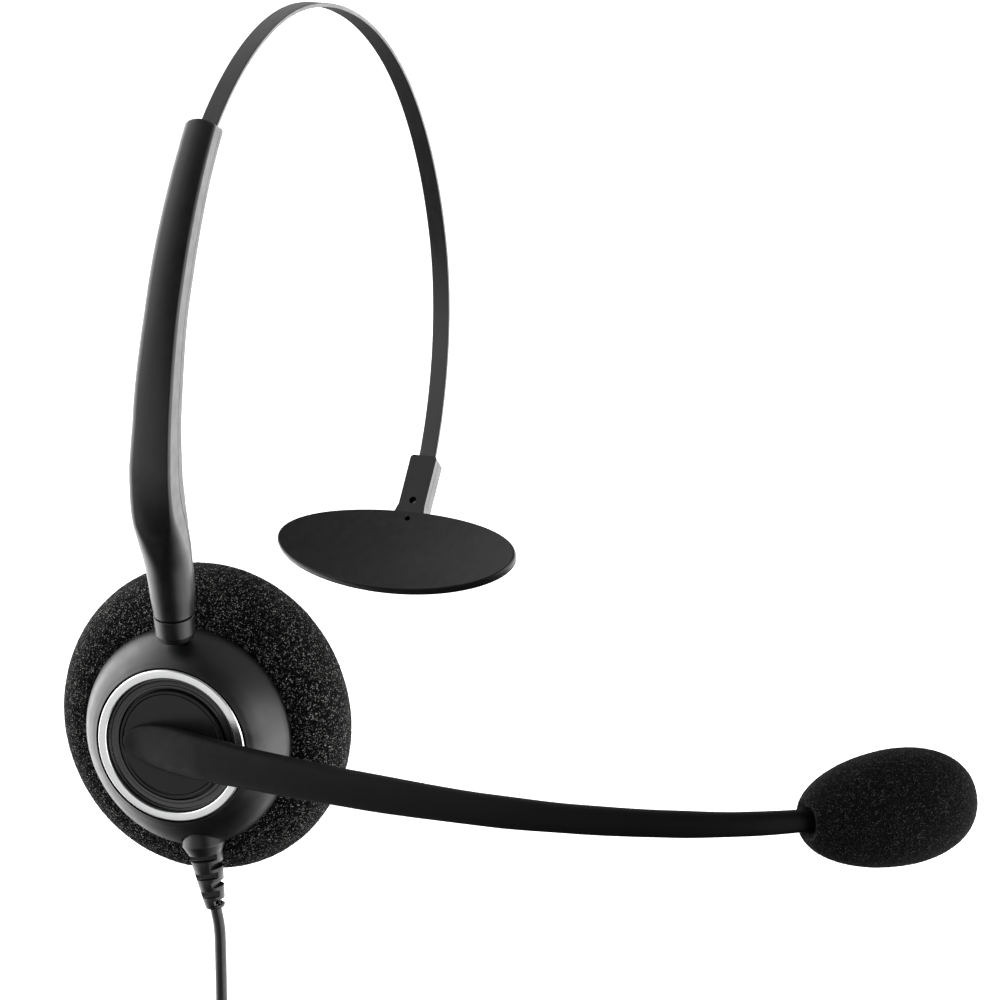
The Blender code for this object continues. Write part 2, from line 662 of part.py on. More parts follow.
def arm_stations():
    """(point, heading, width, thickness, squareness) along the arm, from the collar up."""
    sizes = [(0.0, 7.6, 7.4, 2.2), (8.0, 7.9, 7.3, 2.4), (18.0, 8.3, 6.9, 3.2), (28.0, 8.5, 6.5, 5.0)]
    sizes += [(40.0, 8.2, 6.0, 6.0), (91.0, 6.9, 4.8, 6.0)]
    stations, s, last = [], 0.0, None
    for point, heading in arc_chain(ARM_START, ARM_HEADING, ARM_ARCS, 3.4):
        if last is not None:
            s += (point - last).length
        last = point
        width, height, squareness = interpolate(sizes, s)
        inward = 0.4 * max(0.0, (s - 40.0) / 51.0)
        outward = Vector((-math.sin(heading), math.cos(heading)))
        stations.append((point - outward * inward, heading, width, height, squareness))
    return stations


def make_arm():
    stations = arm_stations()
    for name, side, edge in (("arm_outer_cover", 1, -0.9), ("arm_inner_cover", -1, -1.2)):
        sections = []
        for index, (point, heading, width, height, squareness) in enumerate(stations):
            split = edge * height / 7.0
            section = half_section(width, height, squareness, ARM_WALL, split, side)
            sections.append(in_side_plane(point, heading, section))
        add_piece(name, loft(sections), "arm_plastic", "arm")

    clip = turned([(1.7, 5.2), (2.7, 5.2), (2.7, 6.0), (1.7, 6.0)], collar_point(0), collar_axis(), 20)
    clip = add_piece("swivel_clip", clip, "steel", "arm")
    cut(clip, block((1.6, 3.0, 3.0), collar_point(5.6) + Vector((0, 2.2, 0))))


def slide_point(angle, offset=0.0):
    """A point on the slide's arc, offset outwards from its centre."""
    r = SLIDE_RADIUS + offset
    return Vector((SLIDE_CENTRE[0] + r * math.cos(radians(angle)), SLIDE_CENTRE[1] + r * math.sin(radians(angle))))


def make_arm_inner_pieces():
    """The guide at the arm's mouth and the bowed leaf spring that holds the strip where it's put."""
    mouth = []
    for angle in (130.6, 133.4):
        mouth.append((slide_point(angle), radians(angle - 90), angle))
    outer = [in_side_plane(p, h, [(-2.3, -1.1), (2.3, -1.1), (2.3, 1.1), (-2.3, 1.1)]) for p, h, _ in mouth]
    inner = [in_side_plane(p, h, [(-2.0, -0.8), (2.0, -0.8), (2.0, 0.8), (-2.0, 0.8)]) for p, h, _ in mouth]
    add_piece("band_guide", loft_tube(outer, inner), "inner_plastic", "arm")
    spring = []
    for k in range(9):
        angle = 137.0 + 10.0 * k / 8
        face = -0.85 - 0.5 * (1 - math.sin(math.pi * k / 8))
        ring = [(-1.4, face - 0.25), (1.4, face - 0.25), (1.4, face), (-1.4, face)]
        spring.append(in_side_plane(slide_point(angle), radians(angle - 90), ring))
    add_piece("friction_spring", loft(spring), "steel", "arm")


# ---------------------------------------------------------------- headband


def band_path():
    path = []
    count = 22
    for k in range(count + 1):
        angle = BAND_INNER_END + (BAND_ARC_END - BAND_INNER_END) * k / count
        path.append((slide_point(angle), radians(angle - 90)))
    path += arc_chain(path[-1][0], BAND_ARC_END - 90, BAND_ARCS, 3.6)[1:]
    path.append((path[-1][0] + stem_down() * STRIP_IN_STEM, path[-1][1]))
    return path


def stem_down():
    return Vector((-math.sin(radians(STEM_LEAN)), -math.cos(radians(STEM_LEAN))))


def make_headband():
    half_w, half_t = BAND_WIDTH / 2, BAND_THICKNESS / 2
    section = [(-half_w, -half_t), (half_w, -half_t), (half_w, half_t), (-half_w, half_t)]
    path = band_path()
    add_piece("headband_strip", loft([in_side_plane(p, h, section) for p, h in path]), "band_steel", "headband")
    stop = []
    for angle in (BAND_INNER_END + 0.3, BAND_INNER_END + 2.6):
        ring = [(-2.2, -1.2), (2.2, -1.2), (2.2, 0.7), (-2.2, 0.7)]
        stop.append(in_side_plane(slide_point(angle), radians(angle - 90), ring))
    add_piece("headband_stop", loft(stop), "inner_plastic", "headband")
    return path[-2][0]


def leaning(start, lean):
    """A function that places (x, down, away) on a plane leaning from the vertical: away is from the head."""
    down = Vector((-math.sin(radians(lean)), -math.cos(radians(lean))))
    away = Vector((math.cos(radians(lean)), -math.sin(radians(lean))))

    def place(x, along, out):
        point = start + down * along + away * out
        return at_depth(x, point[0], point[1])

    return place


def make_temple_pad(strip_end):
    """The stem in two halves that clamp the strip's end, and the pad in two layers."""
    half = STEM_THICKNESS / 2
    side = STEM_WIDTH / 2
    on_stem = leaning(strip_end, STEM_LEAN)
    corner = 0.3 * side
    top = -0.6
    outline = [(-side, top + corner), (corner - side, top), (side - corner, top), (side, top + corner)]
    outline += [(side, STEM_LENGTH - 3.0), (side + 0.5, STEM_LENGTH), (-side - 0.5, STEM_LENGTH)]
    outline += [(-side, STEM_LENGTH - 3.0)]
    stem = loft([[on_stem(x, s, n) for x, s in outline] for n in (-half, -STEM_SPLIT)])
    stem = add_piece("temple_stem", stem, "arm_plastic", "headband")
    rib = [(-2.2, STRIP_IN_STEM + GAP), (2.2, STRIP_IN_STEM + GAP), (2.2, STEM_LENGTH - 0.6), (-2.2, STEM_LENGTH - 0.6)]
    cut(stem, loft([[on_stem(x, s, n) for x, s in rib] for n in (-STEM_SPLIT - 0.3, STEM_SPLIT - GAP)]), "UNION")
    cover = loft([[on_stem(x, s, n) for x, s in outline] for n in (STEM_SPLIT, half)])
    cover = add_piece("temple_stem_cover", cover, "arm_plastic", "headband")

    on_pad = leaning(strip_end + stem_down() * (STEM_LENGTH + GAP), PAD_LEAN)
    back = PAD_THICKNESS - half
    face = ((-half, 0.4), (-half + 0.4, 0.0), (-0.8, 0.0))
    plate = ((-0.5, 0.0), (-0.1, 0.2), (0.5, 0.8), (back, 1.9))
    pads = []
    for name, profile in (("temple_pad_face", face), ("temple_pad_plate", plate)):
        rings = []
        for n, shrink in profile:
            across, along = PAD_LENGTH / 2 - shrink, PAD_HEIGHT / 2 - shrink
            angles = [2 * math.pi * k / 48 for k in range(48)]
            rings.append([on_pad(across * math.cos(a), PAD_HEIGHT / 2 + along * math.sin(a), n) for a in angles])
        pads.append(add_piece(name, loft(rings), "pad_rubber", "headband"))

    screws = ((on_stem, STEM_SCREW, 0.75, (stem, cover), half), (on_pad, PAD_SCREW, 0.6, pads, back))
    for number, (place, along, radius, holed, rear) in enumerate(screws, 1):
        for piece in holed:
            cut(piece, cylinder(radius, place(0, along, -half - 1), place(0, along, rear - 0.5), 14))
        screw = cylinder(radius - GAP, place(0, along, -0.9), place(0, along, rear - 0.8), 12)
        add_piece(f"temple_screw_{number}", screw, "steel", "headband")


# ---------------------------------------------------------------- cord, coil and plug


def coil_size():
    """Width and height of the coil's bundle, its turns laid beside and on each other."""
    return COIL_COLUMNS * CORD_DIAMETER, COIL_LAYERS * CORD_DIAMETER


def make_cord():
    floor = FLOOR_Z + TIE_THICKNESS + GAP
    ring_radius = COIL_RING * CORD_DIAMETER / 2
    width, height = coil_size()
    centre = at_depth(*COIL_CENTRE, floor)
    ring = [(ring_radius - width / 2, 0.0), (ring_radius + width / 2, 0.0)]
    ring += [(ring_radius + width / 2, height), (ring_radius - width / 2, height)]
    add_piece("cord_coil", turned(ring, centre, (0, 0, 1), 40), "cord_rubber", "ear_cup")

    hang_x, hang_depth = CORD_HANG
    lie = floor + CORD_DIAMETER / 2
    route = [relief_point(RELIEF_END + GAP), relief_point(36.5), at_depth(hang_x - 0.1, hang_depth, -42.0)]
    route += [at_depth(hang_x, hang_depth, z) for z in (-55.0, -70.0, -85.0, -100.0, -114.0)]
    route += [at_depth(hang_x, hang_depth + 0.6, -124.0), at_depth(hang_x, hang_depth + 4.0, lie + 5.6)]
    route += [at_depth(hang_x, hang_depth + 10.0, lie + 0.7), at_depth(hang_x, CORD_TO_COIL, lie)]
    cord_curve("cord", smooth_route(route, 34), CORD_DIAMETER, "cord_rubber", "ear_cup")

    tail = [at_depth(x, COIL_CENTRE[1] + TAIL_OFFSET, lie) for x in TAIL_STATIONS]
    cord_curve("cord_plug_end", smooth_route(tail, 8), CORD_DIAMETER, "cord_rubber", "ear_cup")

    inner = (ring_radius - width / 2 - 0.5, -GAP), (ring_radius + width / 2 + GAP, height + GAP)
    sections = {"outer": [], "inner": []}
    for along in (-TIE_WIDTH / 2, TIE_WIDTH / 2):
        for key, grow in (("outer", TIE_THICKNESS), ("inner", 0.0)):
            (r0, z0), (r1, z1) = inner
            ring = []
            for r, z in ((r0 - grow, z0 - grow), (r1 + grow, z0 - grow), (r1 + grow, z1 + grow), (r0 - grow, z1 + grow)):
                ring.append(centre + Vector((r, along, z)))
            sections[key].append(ring)
    add_piece("cord_tie", loft_tube(sections["outer"], sections["inner"]), "inner_plastic", "ear_cup")


def make_plug():
    length, width, height = PLUG_SIZE
    base = FLOOR_Z + 0.4
    start = at_depth(TAIL_STATIONS[-1] + GAP, COIL_CENTRE[1] + TAIL_OFFSET, base)
    centre = start + Vector((length / 2, 0, height / 2))
    body = add_piece("plug_body", block((length, width, height), centre, bevel=0.4), "plug_clear", "ear_cup")
    latch = block((9.5, 3.2, 0.9), start + Vector((5.6, 0, height + 1.3)), Matrix.Rotation(radians(9), 3, "Y"), 0.2)
    cut(body, latch, "UNION")
    cut(body, block((2.4, 3.2, 2.2), start + Vector((length - 1.8, 0, height + 0.3))), "UNION")
    for number in range(4):
        y = (number - 1.5) * 1.27
        slot = start + Vector((length - 1.6, y, 1.0))
        cut(body, block((4.6, 0.8, 2.6), slot))
        contact = block((2.6, 0.4, 1.5), start + Vector((length - 2.2, y, 1.2)))
        add_piece(f"plug_contact_{number + 1}", contact, "contact_gold", "ear_cup")


def main():
    make_ear_cup()
    make_driver()
    make_cushion()
    make_cup_wiring()
    make_strain_relief()
    make_boom()
    make_microphone()
    make_collar()
    make_arm()
    make_arm_inner_pieces()
    end = make_headband()
    make_temple_pad(end)
    make_cord()
    make_plug()


clear_scene()
MATERIALS = make_materials()
BODIES = {
    "ear_cup": make_body("ear_cup_origin", (0, 0, 0)),
    "boom": make_body("boom_axis", at_depth(0, 0, 0)),
    "collar": make_body("tilt_axis", at_depth(0, *TILT_PIN)),
    "arm": make_body("swivel_axis", at_depth(0, *ARM_START)),
    "headband": make_body("slide_centre", at_depth(0, *SLIDE_CENTRE)),
}
main()
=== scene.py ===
"""Looks of the office headset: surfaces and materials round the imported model, a stage, light and a camera.

The frame is the model's own: the origin is the centre of the ear cushion's face, +X is forward, +Y goes from
the ear cup through the head to the temple pad, and +Z is up. Lengths here are in millimetres until a piece is
made. A depth is a distance along +Y from the plane of the cup's silver ring.
"""

import json
import math
from math import radians

import bmesh
import bpy
from mathutils import Matrix, Vector


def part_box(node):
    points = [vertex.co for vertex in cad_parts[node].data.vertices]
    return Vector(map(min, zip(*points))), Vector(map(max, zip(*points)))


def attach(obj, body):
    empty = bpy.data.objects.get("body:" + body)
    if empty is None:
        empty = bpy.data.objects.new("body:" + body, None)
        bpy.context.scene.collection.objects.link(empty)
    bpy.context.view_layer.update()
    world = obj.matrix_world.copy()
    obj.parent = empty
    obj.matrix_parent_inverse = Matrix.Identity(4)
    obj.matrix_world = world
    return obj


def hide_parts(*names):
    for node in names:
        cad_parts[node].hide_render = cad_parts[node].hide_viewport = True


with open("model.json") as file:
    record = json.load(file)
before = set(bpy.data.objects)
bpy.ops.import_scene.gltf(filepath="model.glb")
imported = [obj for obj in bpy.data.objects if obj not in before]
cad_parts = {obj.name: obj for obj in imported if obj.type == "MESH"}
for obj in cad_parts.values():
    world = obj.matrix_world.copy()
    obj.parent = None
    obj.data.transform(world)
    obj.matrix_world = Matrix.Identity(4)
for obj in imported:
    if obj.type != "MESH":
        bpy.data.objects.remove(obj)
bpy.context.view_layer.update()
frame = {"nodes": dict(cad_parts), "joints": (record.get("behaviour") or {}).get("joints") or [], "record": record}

MM = 0.001


def in_mm(point):
    return Vector(point) / MM


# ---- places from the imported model

JOINTS = {joint["name"]: joint for joint in frame["joints"]}
RING_Y = in_mm(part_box("trim_ring")[0]).y
FLOOR_Z = in_mm(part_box("cord_tie")[0]).z
COLLAR = in_mm(JOINTS["arm_swivel"]["pos_m"])
COLLAR_AXIS = Vector(JOINTS["arm_swivel"]["axis"]).normalized()
SLIDE = in_mm(JOINTS["band_slide"]["pos_m"])
COIL_BOX = [in_mm(corner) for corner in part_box("cord_coil")]
PLUG_BOX = [in_mm(corner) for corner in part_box("plug_body")]


def at_depth(x, depth, z):
    return Vector((x, RING_Y + depth, z))


# ---- sizes, in millimetres

# Ear cup
HUB_RADIUS = 10.1
TRIM_RADIUS = 14.15
TRIM_WIDTH = 1.6
CUP_DROP = 1.5  # how much lower the cup's bottom edge hangs than a round cup's
CUP_RADIUS = 19.6
CUSHION_RADIUS = 27.5
CUSHION_DEPTH = -RING_Y
CUSHION_OVAL = (0.99, 1.0, 1.035)
CUSHION_SHIFT = (-0.7, 0.0, -0.2)
CUSHION_STEPS = 380

# Tilt tab under the collar and its slot in the cup: (X, thickness, length)
TILT_SLOT = (3.4, 3.2, 9.0)
TILT_TAB = (2.8, 1.6, 5.6)
TILT_BACK = Vector((0.0, 2.1, 0.0))  # both sit this far behind the collar's axis

# Boom and microphone: arcs are (radius, sweep in degrees)
BOOM_START = (7.1, -4.1)
BOOM_HEADING = -16.5
BOOM_ARCS = ((255.0, 12.0), (113.0, 21.4), (60.7, 27.5))
MIC_CENTRE = (130.1, 10.0)
MIC_HEADING = 46.0
WINDSCREEN_LENGTH = 33.4
WINDSCREEN_RADIUS = 10.2
WINDSCREEN_STEPS, WINDSCREEN_RINGS = 220, 90

# Arm and headband
ARM_HEADING = 101.0
ARM_ARCS = ((108.6, 11.0), (22.5, -25.7), (89.8, -39.0))
ARM_WALL = 0.8
ARM_CORNER = 0.55  # rounding of the flat part's edges
ARM_SOFT_CORNER = 1.3  # and of its rear edge
ARM_CROWN = 0.6
ARM_FOOT = 1.2  # up the collar's axis from its joint, to the seam under the arm
SLIDE_RADIUS = 62.6
BAND_WIDTH = 3.4
BAND_THICKNESS = 0.8
BAND_INNER_END = 162.0
BAND_ARC_END = 82.8
BAND_ARCS = ((83.8, -66.3), (54.6, -46.9), (12.0, -10.6))
STRIP_IN_STEM = 7.0

# Temple pad
STEM_WIDTH = 5.4
STEM_LENGTH = 11.5
STEM_THICKNESS = 4.2
STEM_SEAM = (-0.52, -0.44)  # where the front half ends and the back half starts, from the strip's middle
STEM_LEAN = 41.0
STEM_SCREW = 9.1
PAD_LENGTH = 49.0
PAD_HEIGHT = 18.7
PAD_THICKNESS = 3.2
PAD_LEAN = 52.0
PAD_SCREW = 1.9
PAD_HOLLOW = 1.5  # how far the face's ends curve toward the head

# Cord
CORD_DIAMETER = 2.1
RELIEF_LEAN = 10.0
RELIEF_DEPTH = 6.5
RELIEF_END = 32.4
RELIEF_SLOTS = 3  # on each side
RELIEF_PITCH = 3.5
CORD_HANG = (6.6, 6.5)  # X, and depth, of the hanging stretch
COIL_COLUMNS = 4
COIL_LAYERS = 4
TIE_THICKNESS = 0.5
TIE_TIGHTER = Vector((0.8, 0.0, 0.8))  # how much closer to the coil than its solid on each side
PLUG_HEIGHT = 6.6
CONTACT_PITCH = 1.27


# ---- materials


def maths(tree, operation, a, b):
    """A Math node in a node tree. Each input is a number or a socket."""
    node = tree.nodes.new("ShaderNodeMath")
    node.operation = operation
    for socket, value in zip(node.inputs, (a, b)):
        if isinstance(value, (int, float)):
            socket.default_value = value
        else:
            tree.links.new(value, socket)
    return node.outputs["Value"]


class Finish:
    """A node material being built: a Principled shader with coordinates fixed to the object."""

    def __init__(self, name, colour, roughness, metallic=0.0, specular=0.5):
        self.material = bpy.data.materials.new(name)
        self.material.use_nodes = True
        self.material.diffuse_color = (*colour, 1.0)
        self.nodes = self.material.node_tree.nodes
        self.links = self.material.node_tree.links
        self.shader = self.nodes["Principled BSDF"]
        self.shader.inputs["Base Color"].default_value = (*colour, 1.0)
        self.shader.inputs["Roughness"].default_value = roughness
        self.shader.inputs["Metallic"].default_value = metallic
        self.shader.inputs["Specular IOR Level"].default_value = specular
        self.place = self.nodes.new("ShaderNodeTexCoord").outputs["Object"]
        self.normal = None

    def noise(self, size_mm, detail=3.0, roughness=0.55, stretch=None):
        """A noise from 0 to 1 with features of that size. stretch scales the coordinates along each axis."""
        node = self.nodes.new("ShaderNodeTexNoise")
        node.inputs["Scale"].default_value = 1.0 / (size_mm * MM)
        node.inputs["Detail"].default_value = detail
        node.inputs["Roughness"].default_value = roughness
        self.links.new(self.stretched(stretch), node.inputs["Vector"])
        return node.outputs["Fac"]

    def cells(self, size_mm, feature="F1", stretch=None):
        node = self.nodes.new("ShaderNodeTexVoronoi")
        node.feature = feature
        node.inputs["Scale"].default_value = 1.0 / (size_mm * MM)
        self.links.new(self.stretched(stretch), node.inputs["Vector"])
        return node

    def stretched(self, stretch):
        if stretch is None:
            return self.place
        node = self.nodes.new("ShaderNodeMapping")
        node.inputs["Scale"].default_value = stretch
        self.links.new(self.place, node.inputs["Vector"])
        return node.outputs["Vector"]

    def spread(self, value, low, high, start=0.3, end=0.7):
        """Maps a value's range from start to end onto low to high."""
        node = self.nodes.new("ShaderNodeMapRange")
        node.inputs["From Min"].default_value = start
        node.inputs["From Max"].default_value = end
        node.inputs["To Min"].default_value = low
        node.inputs["To Max"].default_value = high
        self.links.new(value, node.inputs["Value"])
        return node.outputs["Result"]

    def mix(self, share, low, high):
        """A colour between two, each a colour or a socket."""
        node = self.nodes.new("ShaderNodeMix")
        node.data_type = "RGBA"
        self.links.new(share, node.inputs["Factor"])
        for socket, value in ((node.inputs["A"], low), (node.inputs["B"], high)):
            if isinstance(value, (tuple, list)):
                socket.default_value = (*value[:3], 1.0)
            else:
                self.links.new(value, socket)
        return node.outputs["Result"]

    def colour(self, socket):
        self.links.new(socket, self.shader.inputs["Base Color"])

    def roughness(self, socket):
        self.links.new(socket, self.shader.inputs["Roughness"])

    def bump(self, height, depth_mm, strength=1.0):
        node = self.nodes.new("ShaderNodeBump")
        node.inputs["Strength"].default_value = strength
        node.inputs["Distance"].default_value = depth_mm * MM
        self.links.new(height, node.inputs["Height"])
        if self.normal is not None:
            self.links.new(self.normal, node.inputs["Normal"])
        self.normal = node.outputs["Normal"]
        self.links.new(self.normal, self.shader.inputs["Normal"])


def moulded_plastic(name, colour, roughness, grain_mm, grain_depth, specular):
    """Satin moulded plastic: a fine spark-eroded grain, with faint drifts of colour and gloss."""
    finish = Finish(name, colour, roughness, specular=specular)
    drift = finish.noise(9.0, 2.0)
    finish.colour(finish.mix(drift, [c * 0.8 for c in colour], [c * 1.25 for c in colour]))
    finish.roughness(finish.spread(finish.noise(2.2, 4.0), roughness - 0.05, roughness + 0.05))
    finish.bump(finish.noise(grain_mm, 2.0), grain_depth, 0.6)
    return finish.material


def silver_trim(name):
    """Satin plated plastic, with a fine grain in its gloss and surface and faint drifts of tone."""
    finish = Finish(name, (0.60, 0.61, 0.62), 0.3, metallic=1.0)
    finish.roughness(finish.spread(finish.noise(0.5, 4.0), 0.26, 0.36))
    finish.colour(finish.mix(finish.noise(4.0, 2.0), (0.62, 0.625, 0.63), (0.70, 0.703, 0.705)))
    finish.bump(finish.noise(0.12, 2.0), 0.004, 0.5)
    return finish.material


def open_foam(name, cell_mm, strut, painted_highlight):
    """Open-cell foam: a strut web whose pits are darkened with painted shade, and scattered bright spots of
    painted highlights standing for cut strut ends that catch the light.
    """
    finish = Finish(name, (0.01, 0.01, 0.01), 0.8, specular=0.05)
    walls = finish.cells(cell_mm, "DISTANCE_TO_EDGE").outputs["Distance"]
    web = finish.spread(walls, 1.0, 0.0, 0.02, 0.2)
    ends = finish.cells(cell_mm * 0.52)
    chosen = finish.spread(ends.outputs["Color"], 0.0, 1.0, 0.62, 0.9)
    middle = finish.spread(ends.outputs["Distance"], 1.0, 0.0, 0.3, 0.7)
    patch = finish.spread(finish.noise(0.9, 3.0), 0.25, 1.0, 0.35, 0.62)
    tree = finish.material.node_tree
    # painted highlights: chosen cell centres, thinned out by patch, get a bright colour in place of real
    # highlights off strut ends
    painted_highlight_mask = maths(tree, "MULTIPLY", maths(tree, "MULTIPLY", chosen, middle), patch)
    # painted shade: the pits inside the strut web get a fifth of the strut colour, standing for the shade inside
    # the open cells
    struts_with_painted_pit_shade = finish.mix(web, [strut * 0.2] * 3, [strut] * 3)
    finish.colour(finish.mix(painted_highlight_mask, struts_with_painted_pit_shade, (painted_highlight, painted_highlight * 0.985, painted_highlight * 0.96)))
    finish.bump(web, cell_mm * 0.35, 0.9)
    return finish.material


def coated_steel(name):
    """Spring steel strip with a thin black coat: faint drawing lines along it and small rubbed spots."""
    colour = (0.0045, 0.0045, 0.0047)
    finish = Finish(name, colour, 0.42, specular=0.7)
    lines = finish.noise(0.25, 3.0, stretch=(1.0, 0.06, 0.06))
    finish.roughness(finish.spread(lines, 0.36, 0.5))
    rubbed = finish.spread(finish.noise(1.6, 5.0, 0.7), 0.0, 1.0, 0.62, 0.8)
    finish.colour(finish.mix(rubbed, colour, (0.012, 0.012, 0.0125)))
    finish.bump(lines, 0.006, 0.5)
    return finish.material


def soft_rubber(name, colour, roughness):
    """Smooth rubber with a dusty bloom."""
    finish = Finish(name, colour, roughness, specular=0.32)
    bloom = finish.spread(finish.noise(3.5, 5.0, 0.65), 0.0, 1.0, 0.45, 0.75)
    finish.colour(finish.mix(bloom, colour, [c * 1.6 + 0.001 for c in colour]))
    finish.roughness(finish.spread(finish.noise(1.1, 3.0), roughness - 0.05, roughness + 0.07))
    finish.bump(finish.noise(0.22, 3.0), 0.010, 0.5)
    return finish.material


def bare_metal(name, colour, roughness, grain=(1.0, 1.0, 1.0)):
    """Metal with a fine grain, finer along an axis where grain is over 1, and a little tarnish."""
    finish = Finish(name, colour, roughness, metallic=1.0)
    lines = finish.noise(0.2, 3.0, stretch=grain)
    finish.roughness(finish.spread(lines, roughness - 0.08, roughness + 0.1))
    tarnish = finish.noise(1.5, 3.0)
    finish.colour(finish.mix(tarnish, [c * 0.85 for c in colour], colour))
    finish.bump(lines, 0.004, 0.4)
    return finish.material


def clear_plastic(name):
    """Clear, slightly smoky plastic, as of a small plug."""
    finish = Finish(name, (0.62, 0.65, 0.67), 0.08)
    finish.shader.inputs["Transmission Weight"].default_value = 0.8
    finish.shader.inputs["IOR"].default_value = 1.58
    finish.roughness(finish.spread(finish.noise(0.6, 3.0), 0.05, 0.14))
    finish.bump(finish.noise(0.8, 2.0), 0.006, 0.3)
    return finish.material


def woven_cloth(name, colour):
    """Open cloth: small holes between threads."""
    finish = Finish(name, colour, 0.85)
    across = finish.cells(0.22).outputs["Distance"]
    thread, hole = [c * 1.6 for c in colour], [c * 0.3 for c in colour]
    finish.colour(finish.mix(finish.spread(across, 0.0, 1.0, 0.1, 0.7), thread, hole))
    finish.bump(across, 0.05, 0.8)
    return finish.material


def circuit_board(name):
    """Green solder resist over tracks."""
    finish = Finish(name, (0.02, 0.16, 0.06), 0.4)
    tracks = finish.cells(1.1, stretch=(1.0, 1.0, 2.2)).outputs["Distance"]
    copper = finish.spread(tracks, 0.0, 1.0, 0.45, 0.5)
    finish.colour(finish.mix(copper, (0.015, 0.12, 0.045), (0.03, 0.22, 0.09)))
    finish.bump(tracks, 0.02, 0.3)
    return finish.material


def driver_film(name):
    """The diaphragm's thin film, slightly uneven."""
    finish = Finish(name, (0.55, 0.5, 0.4), 0.3)
    finish.colour(finish.mix(finish.noise(2.0, 2.0), (0.5, 0.44, 0.33), (0.6, 0.56, 0.46)))
    finish.bump(finish.noise(0.9, 2.0), 0.02, 0.4)
    return finish.material


FINISHES = {  # name: (its function, then what that takes after the name)
    "cup_plastic": (moulded_plastic, (0.0040, 0.0040, 0.0042), 0.40, 0.16, 0.012, 0.48),
    "hub_plastic": (moulded_plastic, (0.0050, 0.0050, 0.0048), 0.42, 0.20, 0.012, 0.28),
    "trim_silver": (silver_trim,),
    "bearing_grey": (moulded_plastic, (0.010, 0.010, 0.0105), 0.30, 0.16, 0.012, 0.60),
    "boom_plastic": (moulded_plastic, (0.0036, 0.0035, 0.0034), 0.55, 0.20, 0.012, 0.07),
    "arm_plastic": (moulded_plastic, (0.0032, 0.0032, 0.0034), 0.38, 0.16, 0.012, 0.40),
    "inner_plastic": (moulded_plastic, (0.03, 0.03, 0.031), 0.55, 0.30, 0.020, 0.50),
    # the last number of each foam is the brightness of its painted highlights
    "foam": (open_foam, 0.38, 0.0014, 0.44),
    "fine_foam": (open_foam, 0.34, 0.0028, 0.09),
    "band_steel": (coated_steel,),
    "pad_rubber": (soft_rubber, (0.0032, 0.0031, 0.0030), 0.36),
    "steel": (bare_metal, (0.55, 0.55, 0.56), 0.32),
    "magnet_nickel": (bare_metal, (0.6, 0.59, 0.56), 0.25),
    "film": (driver_film,),
    "copper": (bare_metal, (0.72, 0.42, 0.25), 0.35, (1.0, 12.0, 1.0)),
    "board_green": (circuit_board,),
    "cloth": (woven_cloth, (0.03, 0.03, 0.03)),
    "cord_rubber": (soft_rubber, (0.0042, 0.0042, 0.0044), 0.42),
    "plug_clear": (clear_plastic,),
    "contact_gold": (bare_metal, (0.9, 0.66, 0.25), 0.22, (8.0, 1.0, 1.0)),
}
MATERIALS = {name: make(name, *values) for name, (make, *values) in FINISHES.items()}


def repaint_frame():
    """Gives every CAD node that stays the material of its slot."""
    for entry in frame["record"]["subparts"]:
        node = frame["nodes"][entry["node"]]
        for holder in node.material_slots:
            holder.material = MATERIALS[entry["material_slot"]]


# ---- outlines and paths


def rounded(corners, closed=False, steps=4):
    """An outline through (x, y, radius) corners, each rounded by an arc."""
    points = []
    count = len(corners)
    for i, (x, y, radius) in enumerate(corners):
        at_end = not closed and i in (0, count - 1)
        if at_end or radius <= 0:
            points.append((x, y))
            continue
        here = Vector((x, y))
        back = Vector(corners[i - 1][:2]) - here
        ahead = Vector(corners[(i + 1) % count][:2]) - here
        half = back.angle(ahead) / 2
        reach = min(radius / math.tan(half), 0.49 * back.length, 0.49 * ahead.length)
        start, end = here + back.normalized() * reach, here + ahead.normalized() * reach
        for k in range(steps + 1):
            t = k / steps
            bend = start.lerp(here, t).lerp(here.lerp(end, t), t)
            points.append((bend.x, bend.y))
    return points


def through(points, per_span):
    """A Catmull-Rom curve through points, with that many steps from each to the next."""
    points = [Vector(p) for p in points]
    padded = [2 * points[0] - points[1], *points, 2 * points[-1] - points[-2]]
    found = []
    for a, b, c, d in zip(padded, padded[1:], padded[2:], padded[3:]):
        for k in range(per_span):
            t = k / per_span
            square, cube = 2 * a - 5 * b + 4 * c - d, 3 * b - a - 3 * c + d
            found.append(0.5 * (2 * b + (c - a) * t + square * t * t + cube * t**3))
    return found + [points[-1]]


def arc_chain(start, heading, arcs, step):
    """Points and headings along tangent arcs in a plane. A positive sweep turns left."""
    found = [(Vector(start), radians(heading))]
    for radius, sweep in arcs:
        count = max(2, round(radius * abs(radians(sweep)) / step))
        turn = radians(sweep) / count
        chord = 2 * radius * math.sin(abs(turn) / 2)
        for _ in range(count):
            point, angle = found[-1]
            middle = angle + turn / 2
            found.append((point + chord * Vector((math.cos(middle), math.sin(middle))), angle + turn))
    return found


def smooth_step(value, low, high):
    t = min(1.0, max(0.0, (value - low) / (high - low)))
    return t * t * (3 - 2 * t)


def interpolate(table, s):
    """A row of values at s, from a table of (s, values...) rows."""
    for low, high in zip(table, table[1:]):
        if s <= high[0]:
            t = smooth_step(s, low[0], high[0])
            return [a + (b - a) * t for a, b in zip(low[1:], high[1:])]
    return list(table[-1][1:])


def along(path):
    """The distance from a path's start to each of its points."""
    distances = [0.0]
    for (a, _), (b, _) in zip(path, path[1:]):
        distances.append(distances[-1] + (b - a).length)
    return distances


def in_side_plane(point, heading, section):
    """Places a section across a path in the YZ plane: x is X, and y points away from the head."""
    outward = Vector((-math.sin(heading), math.cos(heading)))
    return [at_depth(x, point[0] + outward[0] * n, point[1] + outward[1] * n) for x, n in section]


